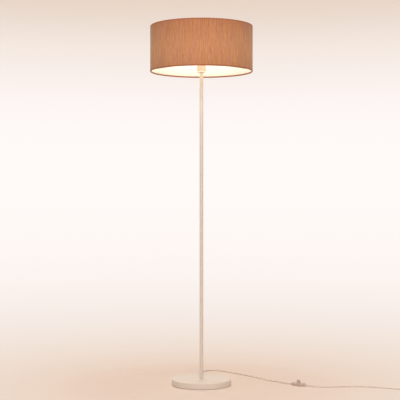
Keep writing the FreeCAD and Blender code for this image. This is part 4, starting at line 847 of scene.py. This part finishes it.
# %% The backdrop
backdrop_mesh = bmesh.new()
foot = backdrop_mesh.verts.new((FLOOR_RADIUS - COVE_RADIUS, 0, 0))
knee = backdrop_mesh.verts.new((FLOOR_RADIUS, 0, 0))
head = backdrop_mesh.verts.new((FLOOR_RADIUS, 0, WALL_TOP))
backdrop_mesh.edges.new((foot, knee))
backdrop_mesh.edges.new((knee, head))
bmesh.ops.bevel(backdrop_mesh, geom=[knee], offset=COVE_RADIUS * COVE_SHARE, affect="VERTICES",
                segments=COVE_SEGMENTS, profile=0.5, material=-1)
bmesh.ops.spin(backdrop_mesh, geom=list(backdrop_mesh.verts) + list(backdrop_mesh.edges),
               cent=(0, 0, 0), axis=(0, 0, 1), angle=2 * math.pi, steps=STAGE_STEPS, use_merge=True)
backdrop = make_piece("backdrop", backdrop_mesh)
backdrop.visible_diffuse = False
backdrop.visible_shadow = False


# %% Their finishes
def backdrop_finish():
    """Lit paper, as the camera and shiny things see it."""
    finish = Finish("backdrop")
    level = finish.add("SeparateXYZ", {0: finish.place()}, output=2)
    height = level * (1 / WALL_TOP)
    paper = finish.ramp(height, [
        (0.0, shade_of(252, 244, 240)), (0.03, shade_of(254, 247, 244)),
        (0.09, shade_of(255, 250, 247)), (0.162, shade_of(255, 250, 248)),
        (0.233, shade_of(253, 245, 243)), (0.305, shade_of(245, 233, 225)),
        (0.349, shade_of(236, 220, 208)), (0.371, shade_of(233, 214, 199))])
    return finish.close(finish.add("Emission", {"Color": paper, "Strength": 1.0}))


def floor_finish():
    """Pale floor, matt near the lamp, that fades into lit paper further out."""
    finish = Finish("floor")
    place = finish.place()
    away = finish.add("VectorMath", {0: place}, {"operation": "LENGTH"}, output=1)
    fade = finish.add("MapRange", {0: away, 1: FADE_FROM, 2: FADE_TO, 3: 0.0, 4: 1.0},
                      {"interpolation_type": "SMOOTHSTEP"})
    grain = finish.grain(3, place, 2)
    peach = finish.ramp(grain, [(0.3, (0.835, 0.712, 0.640, 1)), (0.7, (0.855, 0.732, 0.660, 1))])
    ground = finish.add("BsdfDiffuse", {"Color": peach})
    paper = finish.ramp(away * (1 / FLOOR_RADIUS), [
        (0.045, shade_of(235, 208, 190)), (0.079, shade_of(236, 214, 197)),
        (0.119, shade_of(239, 221, 208)), (0.163, shade_of(241, 226, 214)),
        (0.277, shade_of(245, 234, 227)), (0.434, shade_of(249, 239, 234)),
        (0.722, shade_of(252, 244, 240))])
    far = finish.add("Emission", {"Color": paper, "Strength": 1.0})
    path = finish.tree.nodes.new("ShaderNodeLightPath")
    seen = [Wire(finish, path.outputs[name])
            for name in ("Is Camera Ray", "Is Glossy Ray", "Is Transmission Ray")]
    share = finish.maths("MINIMUM", seen[0] + seen[1] + seen[2], 1.0)
    return finish.close(finish.add("MixShader", {0: fade * share, 1: ground, 2: far}))


floor.data.materials.append(floor_finish())
backdrop.data.materials.append(backdrop_finish())

# %% [markdown]
# ## The light
#
# Soft light from all round comes from the world. A large soft lamp hangs
# above the camera, and the drum turns away from it at its sides, which is
# what makes it look round. A wide warm one above the lamp lights the floor
# and the top of the base, and a third, behind on the left, lights the back. A
# small disc in the mouth of the shade throws the bulb's warm light down on
# the pole and the floor. The camera sees none of them.

# %% World
WORLD_STRENGTH = 0.31
world = bpy.data.worlds.new("studio")
world.use_nodes = True
sky = world.node_tree.nodes["Background"]
sky.inputs["Color"].default_value = (1.0, 0.95, 0.92, 1)
sky.inputs["Strength"].default_value = WORLD_STRENGTH
bpy.context.scene.world = world
print("world strength", WORLD_STRENGTH)


# %% A helper for lamps
def soft_light(name, place, aim, size, power, colour):
    """A square area light that points at a place."""
    data = bpy.data.lights.new(name, "AREA")
    data.shape = "SQUARE"
    data.size = size
    data.energy = power
    data.color = colour
    light = bpy.data.objects.new(name, data)
    light.location = place
    light.rotation_euler = (Vector(aim) - Vector(place)).to_track_quat("-Z", "Y").to_euler()
    light.visible_camera = False
    bpy.context.collection.objects.link(light)
    print(name, power, "W, size", size)
    return light


# %% The lamps
GLOW_RADIUS = 0.14
MOUTH_GAP = 0.002

soft_light("front_light", place=(0.0, -3.9, 3.0), aim=(0, 0, 1.0), size=1.6, power=98,
           colour=(1.0, 0.99, 0.98))
soft_light("top_light", place=(0.25, 0.4, 4.2), aim=(0, 0, 0.3), size=2.4, power=66,
           colour=(1.0, 0.75, 0.49))
soft_light("back_light", place=(-1.2, 3.6, 3.4), aim=(0, 0, 0.9), size=1.6, power=34,
           colour=(1.0, 0.96, 0.92))
mouth_light = soft_light("mouth_light", place=(0, 0, SHADE_BOTTOM + MOUTH_GAP), aim=(0, 0, 0),
                         size=2 * GLOW_RADIUS, power=0.21, colour=(1.0, 0.90, 0.60))
mouth_light.data.shape = "DISK"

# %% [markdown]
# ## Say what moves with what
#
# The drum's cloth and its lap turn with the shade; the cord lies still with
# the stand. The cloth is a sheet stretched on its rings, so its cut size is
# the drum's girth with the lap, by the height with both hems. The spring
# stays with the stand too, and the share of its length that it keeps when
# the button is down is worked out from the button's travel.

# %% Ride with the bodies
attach(drum_cloth, "shade")
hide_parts("shade_cloth")
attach(seam_lap, "shade")
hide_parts("back_seam")

press = next(joint for joint in frame["joints"] if joint["name"] == "button_press")
pressed_share = press["range_m"][1] / (spring_high.z - spring_low.z)
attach(return_spring, "stand")
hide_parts("switch_spring")
1 - pressed_share
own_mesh(return_spring)
print("the pressed spring keeps", round(1 - pressed_share, 3), "of its length")

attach(lamp_side_cord, "stand")
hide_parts("cord_lamp_side")

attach(plug_side_cord, "stand")
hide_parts("cord_plug_side", "cord_coil")

# %% The picture's settings
bpy.context.scene.view_settings.view_transform = "Standard"
